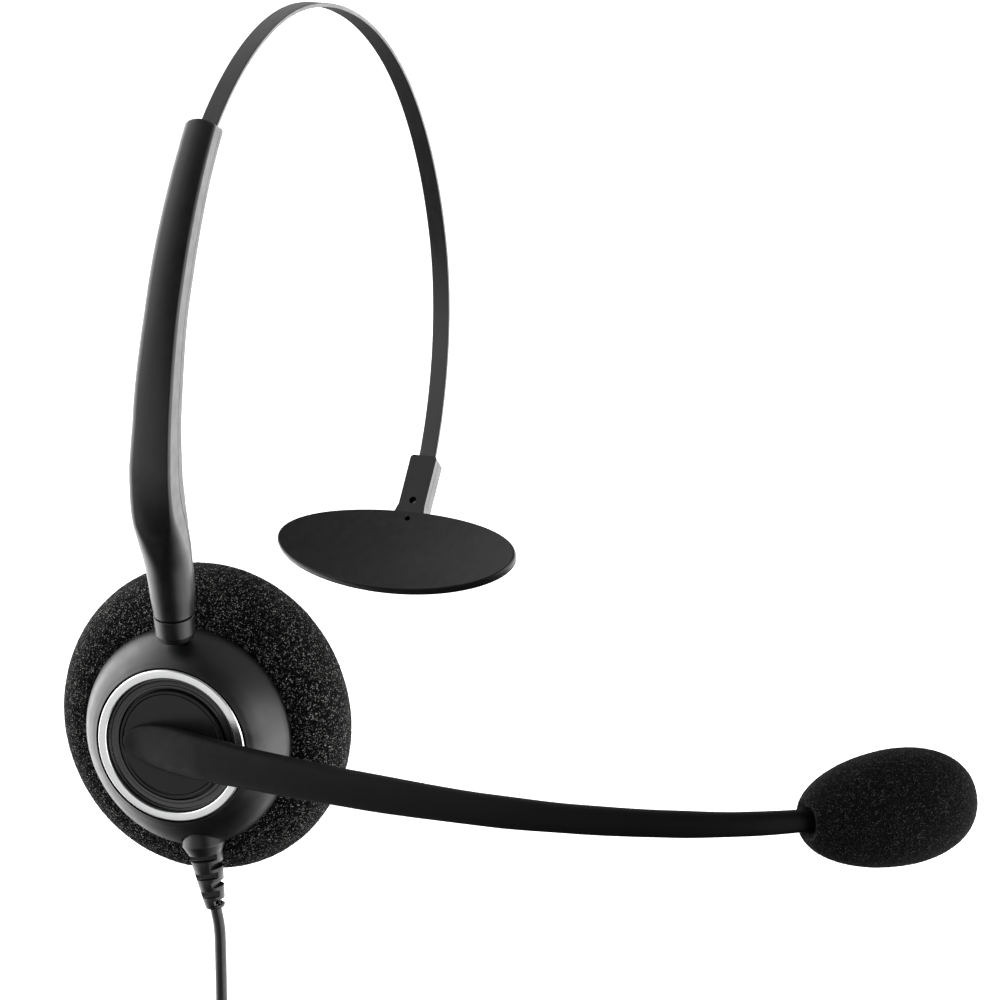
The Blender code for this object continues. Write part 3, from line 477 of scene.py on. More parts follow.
def in_level_plane(point, heading, section):
    """Places a section across a path in the XY plane: x is up, and y is across the path."""
    across = Vector((-math.sin(heading), math.cos(heading)))
    return [at_depth(point[0] + across[0] * n, point[1] + across[1] * n, z) for z, n in section]


def leaning(start, lean):
    """A function that places (x, down, away) on a plane leaning from the vertical: away is from the head."""
    down = Vector((-math.sin(radians(lean)), -math.cos(radians(lean))))
    away = Vector((math.cos(radians(lean)), -math.sin(radians(lean))))

    def place(x, down_by, out):
        point = start + down * down_by + away * out
        return at_depth(x, point[0], point[1])

    return place


# ---- meshes


def skin(rows, joined=False):
    """A bmesh through closed rows of points. A row of one point is a tip. joined also links last to first."""
    bm = bmesh.new()
    rings = [[bm.verts.new(p) for p in row] for row in rows]
    pairs = list(zip(rings, rings[1:]))
    if joined:
        pairs.append((rings[-1], rings[0]))
    for low, high in pairs:
        count = max(len(low), len(high))
        for i in range(count):
            j = (i + 1) % count
            if len(low) == 1:
                bm.faces.new((low[0], high[j], high[i]))
            elif len(high) == 1:
                bm.faces.new((low[i], low[j], high[0]))
            else:
                bm.faces.new((low[i], low[j], high[j], high[i]))
    if not joined:
        for ring in (rings[0][::-1], rings[-1]):
            if len(ring) > 1:
                bm.faces.new(ring)
    return bm


def turned_rows(profile, centre, axis, steps):
    """Rows of a turned shape from (radius, distance along the axis). A radius of 0 is a tip."""
    axis = Vector(axis).normalized()
    side = axis.orthogonal().normalized()
    other = axis.cross(side)
    rows = []
    for r, distance in profile:
        middle = Vector(centre) + axis * distance
        if r < 1e-6:
            rows.append([middle])
            continue
        angles = [math.tau * k / steps for k in range(steps)]
        rows.append([middle + (side * math.cos(a) + other * math.sin(a)) * r for a in angles])
    return rows


def turned(profile, centre, axis, steps=96):
    """A closed turned solid. A profile that stays off the axis is closed into a ring."""
    ring = profile[0][0] > 1e-6 and profile[-1][0] > 1e-6
    return skin(turned_rows(profile, centre, axis, steps), joined=ring)


def block(size, centre, turn=None, bevel=0.0):
    """A box with rounded edges, turned about its own centre."""
    bm = bmesh.new()
    bmesh.ops.create_cube(bm, size=1.0)
    bmesh.ops.scale(bm, vec=size, verts=bm.verts)
    if bevel:
        bmesh.ops.bevel(bm, geom=bm.edges[:], offset=bevel, segments=4, affect="EDGES", profile=0.5)
    if turn is not None:
        bmesh.ops.rotate(bm, cent=(0, 0, 0), matrix=turn, verts=bm.verts)
    bmesh.ops.translate(bm, vec=centre, verts=bm.verts)
    return bm


def in_scene(name, data):
    made = bpy.data.objects.new(name, data)
    bpy.context.scene.collection.objects.link(made)
    return made


def mesh_of(name, bm):
    """Turns a bmesh in millimetres into an object in metres."""
    bmesh.ops.recalc_face_normals(bm, faces=bm.faces)
    bmesh.ops.scale(bm, vec=(MM, MM, MM), verts=bm.verts)
    mesh = bpy.data.meshes.new(name)
    bm.to_mesh(mesh)
    bm.free()
    return in_scene(name, mesh)


def apply_modifiers(piece):
    """Replaces a piece's mesh by its evaluated one."""
    graph = bpy.context.evaluated_depsgraph_get()
    mesh = bpy.data.meshes.new_from_object(piece.evaluated_get(graph))
    piece.modifiers.clear()
    piece.data = mesh


def cut(piece, tools, operation="DIFFERENCE"):
    """Cuts bmeshes in millimetres from a piece, or joins them on."""
    for bm in tools:
        tool = mesh_of(piece.name + "_tool", bm)
        modifier = piece.modifiers.new("cut", "BOOLEAN")
        modifier.operation = operation
        modifier.object = tool
        bpy.context.view_layer.update()
        apply_modifiers(piece)
        bpy.data.objects.remove(tool, do_unlink=True)


def soften(piece, width, angle=35.0, segments=2):
    """Rounds a piece's sharp edges."""
    modifier = piece.modifiers.new("soften", "BEVEL")
    modifier.width = width * MM
    modifier.segments = segments
    modifier.limit_method = "ANGLE"
    modifier.angle_limit = radians(angle)
    bpy.context.view_layer.update()
    apply_modifiers(piece)


def finish_piece(piece, finish, body, nodes=(), sharp=30.0):
    """Shades a piece, gives it a material and a body, and hides the CAD nodes that it stands for."""
    piece.data.materials.clear()
    piece.data.materials.append(MATERIALS[finish])
    piece.data.shade_smooth()
    piece.data.set_sharp_from_angle(angle=radians(sharp))
    weigh = piece.modifiers.new("even_shading", "WEIGHTED_NORMAL")
    weigh.keep_sharp = True
    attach(piece, body)
    if nodes:
        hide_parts(*nodes)
    return piece


# ---- ear cup


def relief_axis():
    """The way the lead leaves: down, and leaning forward."""
    return Vector((math.sin(radians(RELIEF_LEAN)), 0, -math.cos(radians(RELIEF_LEAN))))


def relief_point(radius):
    """A point on the strain relief's axis, at a distance from the ring's axis."""
    return at_depth(0, RELIEF_DEPTH, 0) + relief_axis() * radius


def across_arm():
    """Turns a block so that its Z runs along the arm's foot."""
    return Matrix.Rotation(radians(ARM_HEADING - 90), 3, "X")


def make_cup_shell():
    centre = at_depth(0, 0, 0)
    flank = [(14.75, 0.42), (15.8, 1.2), (17.2, 2.7), (18.4, 4.8), (19.25, 6.9), (CUP_RADIUS, 8.3)]
    lip = rounded([(14.45, 1.9, 0), (14.45, 0.2, 0.22), (14.75, 0.42, 0)], steps=5)
    rim = [(CUP_RADIUS, 8.3, 0), (CUP_RADIUS, 9.2, 0.25), (16.7, 9.2, 0.2), (16.7, 11.9, 0.2)]
    rim = rounded([*rim, (15.3, 11.9, 0)])
    inside = [(15.3, 7.6), (17.5, 7.6), (17.3, 6.7), (16.4, 4.9), (15.2, 3.6), (3.6, 3.6)]
    profile = [(3.6, 1.9), *lip[:-1], *through(flank, 8), *rim[1:], *inside]
    shell = mesh_of("cup_shell", turned(profile, centre, (0, 1, 0), 192))
    for vertex in shell.data.vertices:
        spot = vertex.co / MM - centre
        drop = smooth_step(math.hypot(spot.x, spot.z), 14.75, 19.0) * max(0.0, -spot.z / CUP_RADIUS)
        vertex.co.z -= CUP_DROP * drop * drop * MM

    tilt_slot = block(TILT_SLOT, COLLAR - COLLAR_AXIS * 6.5 + TILT_BACK, across_arm(), 0.3)
    bore = turned([(0, 12.0), (3.6, 12.0), (3.6, 16.3), (0, 16.3)], relief_point(0), relief_axis(), 48)
    seat = turned([(0, 13.0), (3.95, 13.0), (3.95, 23.0), (0, 23.0)], relief_point(0), relief_axis(), 64)
    cut(shell, [tilt_slot, bore, seat])
    finish_piece(shell, "cup_plastic", "ear_cup", ["ear_cup_shell"], sharp=25)


def make_cup_rings():
    """The silver ring, and the stepped ring inside it that the boom's hub turns in."""
    centre = at_depth(0, 0, 0)
    outer, inner = TRIM_RADIUS, TRIM_RADIUS - TRIM_WIDTH
    trim = [(inner, 1.6, 0), (inner, 0.12, 0.08), (inner + 0.14, 0.0, 0.12)]
    trim += [(outer - 0.2, 0.0, 0.2), (outer, 0.25, 0.1), (outer, 1.6, 0)]
    ring = mesh_of("silver_ring", turned(rounded(trim, steps=6), centre, (0, 1, 0), 256))
    finish_piece(ring, "trim_silver", "ear_cup", ["trim_ring"], sharp=50)

    steps = [(12.4, 1.6, 0), (12.4, 0.86, 0.1), (12.0, 0.8, 0.1), (11.85, 1.1, 0.08), (11.1, 1.16, 0.08)]
    steps += [(10.95, 0.94, 0.1), (10.45, 0.98, 0.1), (10.4, 1.6, 0)]
    bearing = mesh_of("bearing_ring", turned(rounded(steps, steps=5), centre, (0, 1, 0), 192))
    finish_piece(bearing, "bearing_grey", "ear_cup", ["boom_bearing_ring"], sharp=50)


def cushion_profile():
    """(radius, depth) round the cushion: its pocket over the cup's rim, its outside, and its flat face."""
    outside = through(
        [(20.4, 9.66), (23.4, 10.7), (25.9, 13.2), (27.2, 16.6), (CUSHION_RADIUS, 19.4), (27.0, 22.3)]
        + [(25.3, 25.0), (22.6, 26.6), (20.3, CUSHION_DEPTH)],
        16,
    )
    outside = [(p[0], min(p[1], CUSHION_DEPTH)) for p in outside]
    face = [(r, CUSHION_DEPTH) for r in (19.8, 18.9, 17.8, 16.4, 14.8, 13.0, 11.0, 8.8, 6.4, 3.6)]
    back = [(20.1, 14.6), (20.1, 11.9), (17.0, 11.9), (17.0, 9.7), (18.7, 9.62)]
    return [(0, 14.6), *back, *outside, *face, (0, CUSHION_DEPTH)]


def roughen(piece, cell_mm, depth_mm):
    """Pits a foam surface with cells and gives it a slight overall unevenness."""
    for name, kind, size, strength in (
        ("foam_cells", "VORONOI", cell_mm, depth_mm),
        ("foam_swell", "CLOUDS", 7.0, 0.12),
    ):
        texture = bpy.data.textures.new(piece.name + "_" + name, kind)
        texture.noise_scale = size * MM
        modifier = piece.modifiers.new(name, "DISPLACE")
        modifier.texture = texture
        modifier.texture_coords = "LOCAL"
        modifier.strength = strength * MM
        modifier.mid_level = 0.5
    bpy.context.view_layer.update()
    apply_modifiers(piece)


def make_cushion():
    bm = turned(cushion_profile(), at_depth(0, 0, 0), (0, 1, 0), CUSHION_STEPS)
    bmesh.ops.scale(bm, vec=CUSHION_OVAL, verts=bm.verts)
    bmesh.ops.translate(bm, vec=CUSHION_SHIFT, verts=bm.verts)
    cushion = mesh_of("cushion_foam", bm)
    roughen(cushion, 0.5, 0.14)
    finish_piece(cushion, "foam", "ear_cup", ["ear_cushion"], sharp=180)


def make_strain_relief():
    start, axis, end = relief_point(0), relief_axis(), RELIEF_END
    body = [(0, 17.2, 0), (3.3, 17.2, 0.2), (3.65, 18.8, 0.4), (3.95, 20.2, 0.5), (3.1, 21.9, 0.9)]
    body += [(2.75, 24.6, 1.0), (1.9, end - 1.0, 0.6), (1.7, end, 0.2), (1.12, end, 0), (1.12, end - 1.4, 0)]
    body += [(0, end - 1.4, 0)]
    relief = mesh_of("relief_sleeve", turned(rounded(body, steps=6), start, axis))
    turn = Matrix.Rotation(radians(-RELIEF_LEAN), 3, "Y")
    behind = block((10.0, 2.0, 8.0), relief_point(22.0) + Vector((0, 3.85, 0)), turn)
    slots = []
    for number in range(RELIEF_SLOTS):
        down = RELIEF_PITCH * number
        for side in (-1, 1):
            place = relief_point(22.6 + down) + Vector((0, side * (2.95 - 0.13 * number), 0))
            slots.append(block((9.0, 3.2, 1.2), place, turn, 0.25))
        place = relief_point(24.3 + down) + turn @ Vector((3.0 - 0.35 * number, 0, 0))
        slots.append(block((3.4, 9.0, 1.1), place, turn, 0.3))
    cut(relief, [behind, *slots])
    neck = [(0, 15.0), (3.3, 15.0), (3.3, 16.0), (2.5, 16.0), (2.5, 20.2), (0, 20.2)]
    cut(relief, [turned(neck, start, axis, 64)], "UNION")
    soften(relief, 0.08, 40)
    return finish_piece(relief, "cord_rubber", "ear_cup", ["strain_relief"], sharp=35)


# ---- boom and microphone


def superellipse(width, height, squareness, steps):
    """A section that is an ellipse at squareness 2 and closer to a rectangle above it."""
    found = []
    for k in range(steps):
        c, s = math.cos(math.tau * k / steps), math.sin(math.tau * k / steps)
        x = width / 2 * math.copysign(abs(c) ** (2 / squareness), c)
        y = height / 2 * math.copysign(abs(s) ** (2 / squareness), s)
        found.append((x, y))
    return found


def make_boom():
    """The boom runs from a leaf on the hub's disc, swells, and thins out toward the microphone."""
    sizes = [(0.0, 8.2, 4.4), (14.0, 7.4, 4.4), (33.0, 6.8, 4.2), (60.0, 5.8, 3.9), (75.0, 5.2, 3.7)]
    sizes += [(92.0, 4.8, 3.5), (104.0, 4.3, 3.4), (118.0, 3.9, 3.3)]
    path = arc_chain(BOOM_START, BOOM_HEADING, BOOM_ARCS, 1.6)
    rows = []
    leaf = [(-9.35, 0.34, 0.3, 0.2), (-9.2, 0.3, 1.6, 0.5), (-8.7, 0.24, 3.1, 0.75), (-7.7, 0.14, 4.8, 1.0)]
    leaf += [(-6.2, -0.02, 6.1, 1.35), (-4.4, -0.4, 7.35, 2.1), (-2.2, -0.95, 8.15, 3.0)]
    leaf += [(0.4, -1.7, 8.6, 3.8), (3.4, -2.75, 8.6, 4.3)]
    for x, depth, height, thickness in leaf:
        rows.append(in_level_plane((x, depth), radians(-14), superellipse(height, thickness, 2.3, 40)))
    for (point, heading), s in zip(path, along(path)):
        height, thickness = interpolate(sizes, s)
        rows.append(in_level_plane(point, heading, superellipse(height, thickness, 2.5, 40)))
    boom = mesh_of("boom_tube", skin(rows))
    finish_piece(boom, "boom_plastic", "boom", ["boom_arm"], sharp=40)


def make_hub():
    disc = [(0, 0.62, 0), (9.25, 0.62, 0.1), (9.4, 0.78, 0.05), (9.6, 0.55, 0.1), (10.0, 0.55, 0.15)]
    disc = rounded(disc) + [(HUB_RADIUS, 0.75), (HUB_RADIUS, 1.6), (3.3, 1.6), (3.3, 5.2), (0, 5.2)]
    hub = mesh_of("boom_disc", turned(disc, at_depth(0, 0, 0), (0, 1, 0), 192))
    finish_piece(hub, "hub_plastic", "boom", ["boom_hub"], sharp=35)


def windscreen_rows():
    """An egg with a blunt free end and a puckered mouth round the boom."""
    heading = radians(MIC_HEADING)
    axis = Vector((math.cos(heading), math.sin(heading), 0))
    half = WINDSCREEN_LENGTH / 2
    mouth = [(0, 9.0), (1.9, 8.6), (1.9, 3.0), (2.0, 2.2), (2.5, 1.5)]
    profile = [(radius, inward - half) for radius, inward in mouth]
    for k in range(WINDSCREEN_RINGS):
        angle = radians(20) + (math.pi - radians(20)) * k / (WINDSCREEN_RINGS - 1)
        bulge = 1 - 0.10 * math.cos(angle)
        radius = WINDSCREEN_RADIUS * max(0.0, math.sin(angle)) ** 0.82 * bulge
        profile.append((radius, -half * math.cos(angle)))
    profile[-1] = (0, half)
    return turned_rows(profile, at_depth(*MIC_CENTRE, 0), axis, WINDSCREEN_STEPS)


def make_windscreen():
    foam = mesh_of("windscreen_foam", skin(windscreen_rows()))
    roughen(foam, 0.45, 0.12)
    finish_piece(foam, "fine_foam", "boom", ["mic_windscreen"], sharp=180)


# ---- collar and arm


def make_collar():
    seam = ARM_FOOT - 0.14
    skirt = [(0, -4.2, 0), (2.0, -4.1, 0.8), (3.2, -3.5, 0.8), (3.6, -2.3, 0.5), (3.65, seam, 0.14)]
    skirt = rounded([*skirt, (2.1, seam, 0)], steps=6)
    post = [(2.1, 5.0), (1.5, 5.0), (1.5, 6.2), (2.1, 6.2), (1.8, 7.0), (0, 7.0)]
    collar = mesh_of("collar_body", turned(skirt + post, COLLAR, COLLAR_AXIS))
    tab = block(TILT_TAB, COLLAR - COLLAR_AXIS * 5.7 + TILT_BACK, across_arm(), 0.4)
    cut(collar, [tab], "UNION")
    finish_piece(collar, "arm_plastic", "collar", ["swivel_collar"], sharp=35)


def arm_sizes(s):
    """(width, thickness, corner radius, crown) of the arm at a distance from its foot."""
    table = [(0.0, 7.25, 7.1), (4.5, 7.9, 7.5), (10.0, 8.4, 7.6), (14.0, 8.7, 7.7), (18.0, 8.7, 7.3)]
    table += [(22.0, 8.4, 6.9), (28.0, 8.2, 6.4), (40.0, 7.6, 5.6), (60.0, 6.9, 5.0), (92.0, 6.2, 4.4)]
    width, thickness = interpolate(table, s)
    flat = smooth_step(s, 9.0, 26.0)
    corner = (1 - flat) * width / 2 + flat * ARM_CORNER
    return width, thickness, corner, flat * ARM_CROWN


def u_section(half_width, split, top, corners, crown, wall, side):
    """A cover's section: up one side, across a crowned face and down, then back along the inside."""

    def half_line(w, t, radius):
        rx, rn = min(radius, 0.995 * w), min(radius, 0.995 * abs(t - split * side))
        found = [(w, split * side), (w, split * side + 0.5 * (t - rn - split * side))]
        for k in range(13):
            angle = math.pi / 2 * k / 12
            found.append((w - rx + rx * math.cos(angle), t - rn + rn * math.sin(angle)))
        return found + [((w - rx) * share, t) for share in (0.75, 0.5, 0.25)]

    def line(w, t, radii):
        left, right = (half_line(w, t, radius) for radius in radii)
        found = right + [(0.0, t)] + [(-x, n) for x, n in left[::-1]]
        rise = crown / (t - split * side)
        return [(x, n + rise * (1 - (x / w) ** 2) * (n - split * side)) for x, n in found]

    outer = line(half_width, top, corners)
    inner = line(half_width - wall, top - wall, [max(0.2, radius - wall) for radius in corners])
    return [(x, n * side) for x, n in outer + inner[::-1]]


def arm_path():
    """The arm's middle line, with its first and last steps split finely for the rounded ends."""
    foot = COLLAR + COLLAR_AXIS * ARM_FOOT
    path = arc_chain((foot.y - RING_Y, foot.z), ARM_HEADING, ARM_ARCS, 0.9)
    fine = []
    for (a, first), (b, last) in ((path[0], path[1]), (path[-2], path[-1])):
        fine.append([(a.lerp(b, k / 6), first + (last - first) * k / 6) for k in range(7)])
    return fine[0] + path[2:-2] + fine[1]


def make_arm():
    path = arm_path()
    distances = along(path)
    total = distances[-1]
    for name, node, side, edge in (  # edge is where the covers meet, on an arm 7 mm thick
        ("arm_front_cover", "arm_outer_cover", 1, -0.98),
        ("arm_back_cover", "arm_inner_cover", -1, -1.12),
    ):
        rows = []
        for (point, heading), s in zip(path, distances):
            width, thickness, corner, crown = arm_sizes(s)
            inward = 0.4 * max(0.0, (s - 40.0) / 51.0)  # toward the head
            ease = 0.0  # how far the section shrinks to round the ends
            for end, reach in ((s, 0.3), (total - s, 0.5)):
                if end < reach:
                    ease = max(ease, 0.45 * reach * (1 - math.sqrt(max(0.0, 1 - (1 - end / reach) ** 2))))
            section = u_section(
                width / 2 - ease,
                edge * thickness / 7.0,
                thickness / 2 - ease,
                (max(corner, ARM_SOFT_CORNER), corner),
                crown if side > 0 else 0.0,
                ARM_WALL - ease,
                side,
            )
            outward = Vector((-math.sin(heading), math.cos(heading)))
            rows.append(in_side_plane(point - outward * inward, heading, section))
        shape_mouth(rows, path[-1], side)
        cover = mesh_of(name, skin(rows))
        finish_piece(cover, "arm_plastic", "arm", [node], sharp=35)


def shape_mouth(rows, end, side):
    """Carries the free end further on its inner side, and bows the front cover's edge."""
    point, heading = end
    ahead = Vector((0, math.cos(heading), math.sin(heading)))
    inward = Vector((0, math.sin(heading), -math.cos(heading)))
    middle = at_depth(0, point[0], point[1])
    half = max(p.x for p in rows[-1])
    count = 14
    for back, row in enumerate(reversed(rows[-count:])):
        share = (1 - back / count) ** 0.8
        for p in row:
            bow = 0.8 * (1 - (p.x / half) ** 2) if side > 0 else 0.0
            p += ahead * share * (bow + 0.30 * max(0.0, (p - middle).dot(inward) + 2.2))


# ---- headband and temple pad


def slide_point(angle):
    """A point on the arc that the strip slides along."""
    start = Vector((SLIDE.y - RING_Y, SLIDE.z))
    return start + SLIDE_RADIUS * Vector((math.cos(radians(angle)), math.sin(radians(angle))))


def stem_down():
    """The way down the temple pad's stem."""
    return Vector((-math.sin(radians(STEM_LEAN)), -math.cos(radians(STEM_LEAN))))


def band_path():
    """The strip's middle line, from its hidden end in the arm to its end in the stem."""
    count = 70
    path = []
    for k in range(count + 1):
        angle = BAND_INNER_END + (BAND_ARC_END - BAND_INNER_END) * k / count
        path.append((slide_point(angle), radians(angle - 90)))
    path += arc_chain(path[-1][0], BAND_ARC_END - 90, BAND_ARCS, 1.2)[1:]
    path.append((path[-1][0] + stem_down() * STRIP_IN_STEM, path[-1][1]))
    top = max(point.y for point, _ in path)
    for point, _ in path:  # the top of the arch is a little flatter than its arcs
        point.y -= 0.5 * smooth_step(point.y, top - 28.0, top)
    return path


def make_band():
    """Makes the strip, and returns the point where it enters the stem."""
    w, t = BAND_WIDTH / 2, BAND_THICKNESS / 2
    section = rounded([(-w, -t, 0.22), (w, -t, 0.22), (w, t, 0.22), (-w, t, 0.22)], closed=True, steps=4)
    path = band_path()
    band = mesh_of("band_strip", skin([in_side_plane(p, h, section) for p, h in path]))
    finish_piece(band, "band_steel", "headband", ["headband_strip"], sharp=40)
    return path[-2][0]


def drill(piece, place, down, radius):
    """Bores a blind screw hole into a piece of the temple pad, from the side of the head."""
    front = -STEM_THICKNESS / 2 - 1
    axis = place(0, down, 1) - place(0, down, 0)
    hole = [(0, front), (radius, front), (radius, 0.4), (0, 0.4)]
    cut(piece, [turned(hole, place(0, down, 0), axis, 32)])


def make_stem(strip_end):
    """Two halves that hold the strip's end between them."""
    half, side = STEM_THICKNESS / 2, STEM_WIDTH / 2
    on_stem = leaning(strip_end, STEM_LEAN)
    outline = [(-side, -0.6, 0.8), (side, -0.6, 0.8), (side, STEM_LENGTH - 1.4, 1.0)]
    outline += [(side + 0.2, STEM_LENGTH + 0.2, 0.1), (-side - 0.5, STEM_LENGTH + 0.2, 0.1)]
    outline = rounded([*outline, (-side, STEM_LENGTH - 1.5, 1.3)], closed=True, steps=6)
    reach, end = BAND_WIDTH / 2 + 0.1, STRIP_IN_STEM + 0.2
    strip_slot = [(-reach, -1.0), (reach, -1.0), (reach, end), (-reach, end)]

    def slab(shape, sides):
        return skin([[on_stem(x, down, n) for x, down in shape] for n in sides])

    for name, node, sides in (
        ("stem_front", "temple_stem", (-half, STEM_SEAM[0])),
        ("stem_back", "temple_stem_cover", (STEM_SEAM[1], half)),
    ):
        piece = mesh_of(name, slab(outline, sides))
        cut(piece, [slab(strip_slot, (-0.56, 0.56))])
        drill(piece, on_stem, STEM_SCREW, 0.72)
        soften(piece, 0.16, 50, 3)
        finish_piece(piece, "arm_plastic", "headband", [node], sharp=35)


def make_temple_pad(strip_end):
    """A shallow oval dish in two layers, with its ends curved toward the head."""
    half = STEM_THICKNESS / 2
    back = PAD_THICKNESS - half
    on_pad = leaning(strip_end + stem_down() * (STEM_LENGTH + 0.3), PAD_LEAN)
    face = [(-0.6, -half, 0), (-0.2, -half, 0.3), (0.0, -half + 0.5, 0.3), (0.0, -0.75, 0.12)]
    face += [(-0.6, -0.75, 0)]
    plate = [(-0.6, -0.6, 0), (-0.05, -0.6, 0.12), (-0.1, -0.2, 0.3), (-0.9, 0.6, 0.8), (-2.2, back, 0.6)]
    plate += [(-2.6, back, 0)]
    shares = (0.0, 0.3, 0.6, 0.85)
    for name, node, edge in (("pad_face", "temple_pad_face", face), ("pad_plate", "temple_pad_plate", plate)):
        edge = rounded(edge, steps=6)
        profile = [(share, edge[0]) for share in shares] + [(1.0, corner) for corner in edge]
        profile += [(share, edge[-1]) for share in shares[::-1]]
        rows = []
        for share, (grow, n) in profile:
            across, down = (PAD_LENGTH / 2 + grow) * share, (PAD_HEIGHT / 2 + grow) * share
            count = 160 if share else 1
            row = []
            for k in range(count):
                x, y = across * math.cos(math.tau * k / count), down * math.sin(math.tau * k / count)
                row.append(on_pad(x, PAD_HEIGHT / 2 + y, n - PAD_HOLLOW * (2 * x / PAD_LENGTH) ** 2))
            rows.append(row)
        pad = mesh_of(name, skin(rows))
        drill(pad, on_pad, PAD_SCREW, 0.55)
        finish_piece(pad, "pad_rubber", "headband", [node], sharp=35)


# ---- cord, coil, tie and plug


def coil_turns(centre, base, start_angle, end_angle):
    """The coil's turns: clockwise from above, layer on layer, each a cord's width from the last."""
    ring = (COIL_BOX[1].x - COIL_BOX[0].x) / 2
    d = CORD_DIAMETER
    outer = ring - (COIL_BOX[1].z - COIL_BOX[0].z) / 2 + (COIL_COLUMNS - 1) / 2 * d
    places = []
    for layer in range(COIL_LAYERS):
        columns = range(COIL_COLUMNS) if layer % 2 == 0 else range(COIL_COLUMNS - 1, -1, -1)
        places += [(outer - column * d, base + layer * d) for column in columns]
    per_turn = 28
    sweep = start_angle - end_angle + 360.0 * (len(places) - 1)
    count = round(per_turn * sweep / 360.0)
    points = []
    for k in range(count + 1):
        turned_by = sweep * k / count
        number = min(len(places) - 1, int(turned_by // 360))
        radius, height = places[number]
        if number + 1 < len(places):
            share = smooth_step(turned_by - 360.0 * number, 250.0, 360.0)
            radius += (places[number + 1][0] - radius) * share
            height += (places[number + 1][1] - height) * share
        angle = radians(start_angle - turned_by)
        x, y = centre.x + radius * math.cos(angle), centre.y + radius * math.sin(angle)
        points.append(Vector((x, y, height)))
    return points


def make_cord():
    """The lead as one curve: down from the relief, round the coil, and along the floor to the plug."""
    hang_x, hang_depth = CORD_HANG
    coil_centre = (COIL_BOX[0] + COIL_BOX[1]) / 2
    lie = COIL_BOX[0].z + CORD_DIAMETER / 2
    route = [relief_point(RELIEF_END + 0.3), relief_point(36.5), at_depth(hang_x - 0.1, hang_depth, -42.0)]
    route += [at_depth(hang_x, hang_depth, z) for z in (-55.0, -70.0, -85.0, -100.0, -114.0)]
    route += [at_depth(hang_x, hang_depth + 0.6, -124.0), at_depth(hang_x, hang_depth + 4.0, lie + 5.6)]
    route += [at_depth(hang_x, hang_depth + 10.0, lie + 0.7), at_depth(hang_x, 19.7, lie)]
    hang = through(route, 4)
    turns = coil_turns(coil_centre, lie, 180.0, 90.0)
    plug_y, plug_back = (PLUG_BOX[0].y + PLUG_BOX[1].y) / 2, PLUG_BOX[0].x
    top = turns[-1].z
    rest = FLOOR_Z + 3.3
    tail = [(31.0, top), (35.5, top - 1.3), (40.0, rest + 1.1), (45.0, rest + 0.1), (plug_back + 1.6, rest)]
    tail = through([Vector((x, plug_y, z)) for x, z in tail], 4)
    points = hang + turns + tail
    curve = bpy.data.curves.new("lead", "CURVE")
    curve.dimensions = "3D"
    curve.bevel_depth = CORD_DIAMETER / 2 * MM
    curve.bevel_resolution = 6
    curve.use_fill_caps = True
    spline = curve.splines.new("POLY")
    spline.points.add(len(points) - 1)
    for knot, point in zip(spline.points, points):
        knot.co = (*(point * MM), 1.0)
    curve.materials.append(MATERIALS["cord_rubber"])
    spline.use_smooth = True
    lead = in_scene("lead", curve)
    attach(lead, "ear_cup")
    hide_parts("cord", "cord_coil", "cord_plug_end")
    return lead, points[0], sum((b - a).length for a, b in zip(points, points[1:])) * MM


def make_tie():
    low, high = (in_mm(corner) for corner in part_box("cord_tie"))
    low, high = low + TIE_TIGHTER, high - TIE_TIGHTER
    middle = Vector(((low.x + high.x) / 2, (low.z + high.z) / 2))

    def loop(inset, bottom, top):
        """The strap's outline at an inset, with the radii of its bottom and top corners."""
        left, right, foot, head = low.x + inset, high.x - inset, low.z + inset, high.z - inset
        corners = [(left, foot, bottom), (right, foot, bottom), (right, head, top), (left, head, top)]
        return [Vector(p) for p in rounded(corners, True, 6)]

    edges = ((low.y, 0.12), (low.y + 0.2, 0.0), (high.y - 0.2, 0.0), (high.y, 0.12))
    outside, inside = loop(0.0, 1.2, 1.6), loop(TIE_THICKNESS, 0.8, 1.2)
    rows = []
    for line, stations, way in ((outside, edges, 1), (inside, edges[::-1], -1)):
        for y, shrink in stations:
            moved = [p + (middle - p).normalized() * (shrink * way) for p in line]
            rows.append([Vector((p.x, y, p.y)) for p in moved])
    tie = mesh_of("tie_strap", skin(rows, joined=True))
    return finish_piece(tie, "inner_plastic", "ear_cup", ["cord_tie"], sharp=40)


def make_plug():
    low, high = PLUG_BOX
    width, length, height = high.y - low.y, high.x - low.x, PLUG_HEIGHT
    start = Vector((low.x, (low.y + high.y) / 2, low.z))
    middle = start + Vector((length, 0, height)) / 2
    body = mesh_of("plug_shell", block((length, width, height), middle, bevel=0.35))
    slope = Matrix.Rotation(radians(9), 3, "Y")
    latch = block((9.5, 3.2, 0.9), start + Vector((5.6, 0, height + 1.3)), slope, 0.25)
    root = block((2.4, 3.2, 2.2), start + Vector((length - 1.8, 0, height + 0.3)), None, 0.2)
    cut(body, [latch, root], "UNION")
    slots = []
    for number in range(4):
        across = (number - 1.5) * CONTACT_PITCH
        slots.append(block((4.6, 0.8, 2.6), start + Vector((length - 1.6, across, 1.0))))
    slots.append(block((3.0, 4.6, 2.6), start + Vector((0.4, 0, 3.3)), None, 0.4))
    slots.append(block((2.0, 3.6, 1.2), start + Vector((4.4, 0, height)), None, 0.2))
    cut(body, slots)
    soften(body, 0.06, 50)
    return finish_piece(body, "plug_clear", "ear_cup", ["plug_body"], sharp=35)


# ---- stage, lights and camera

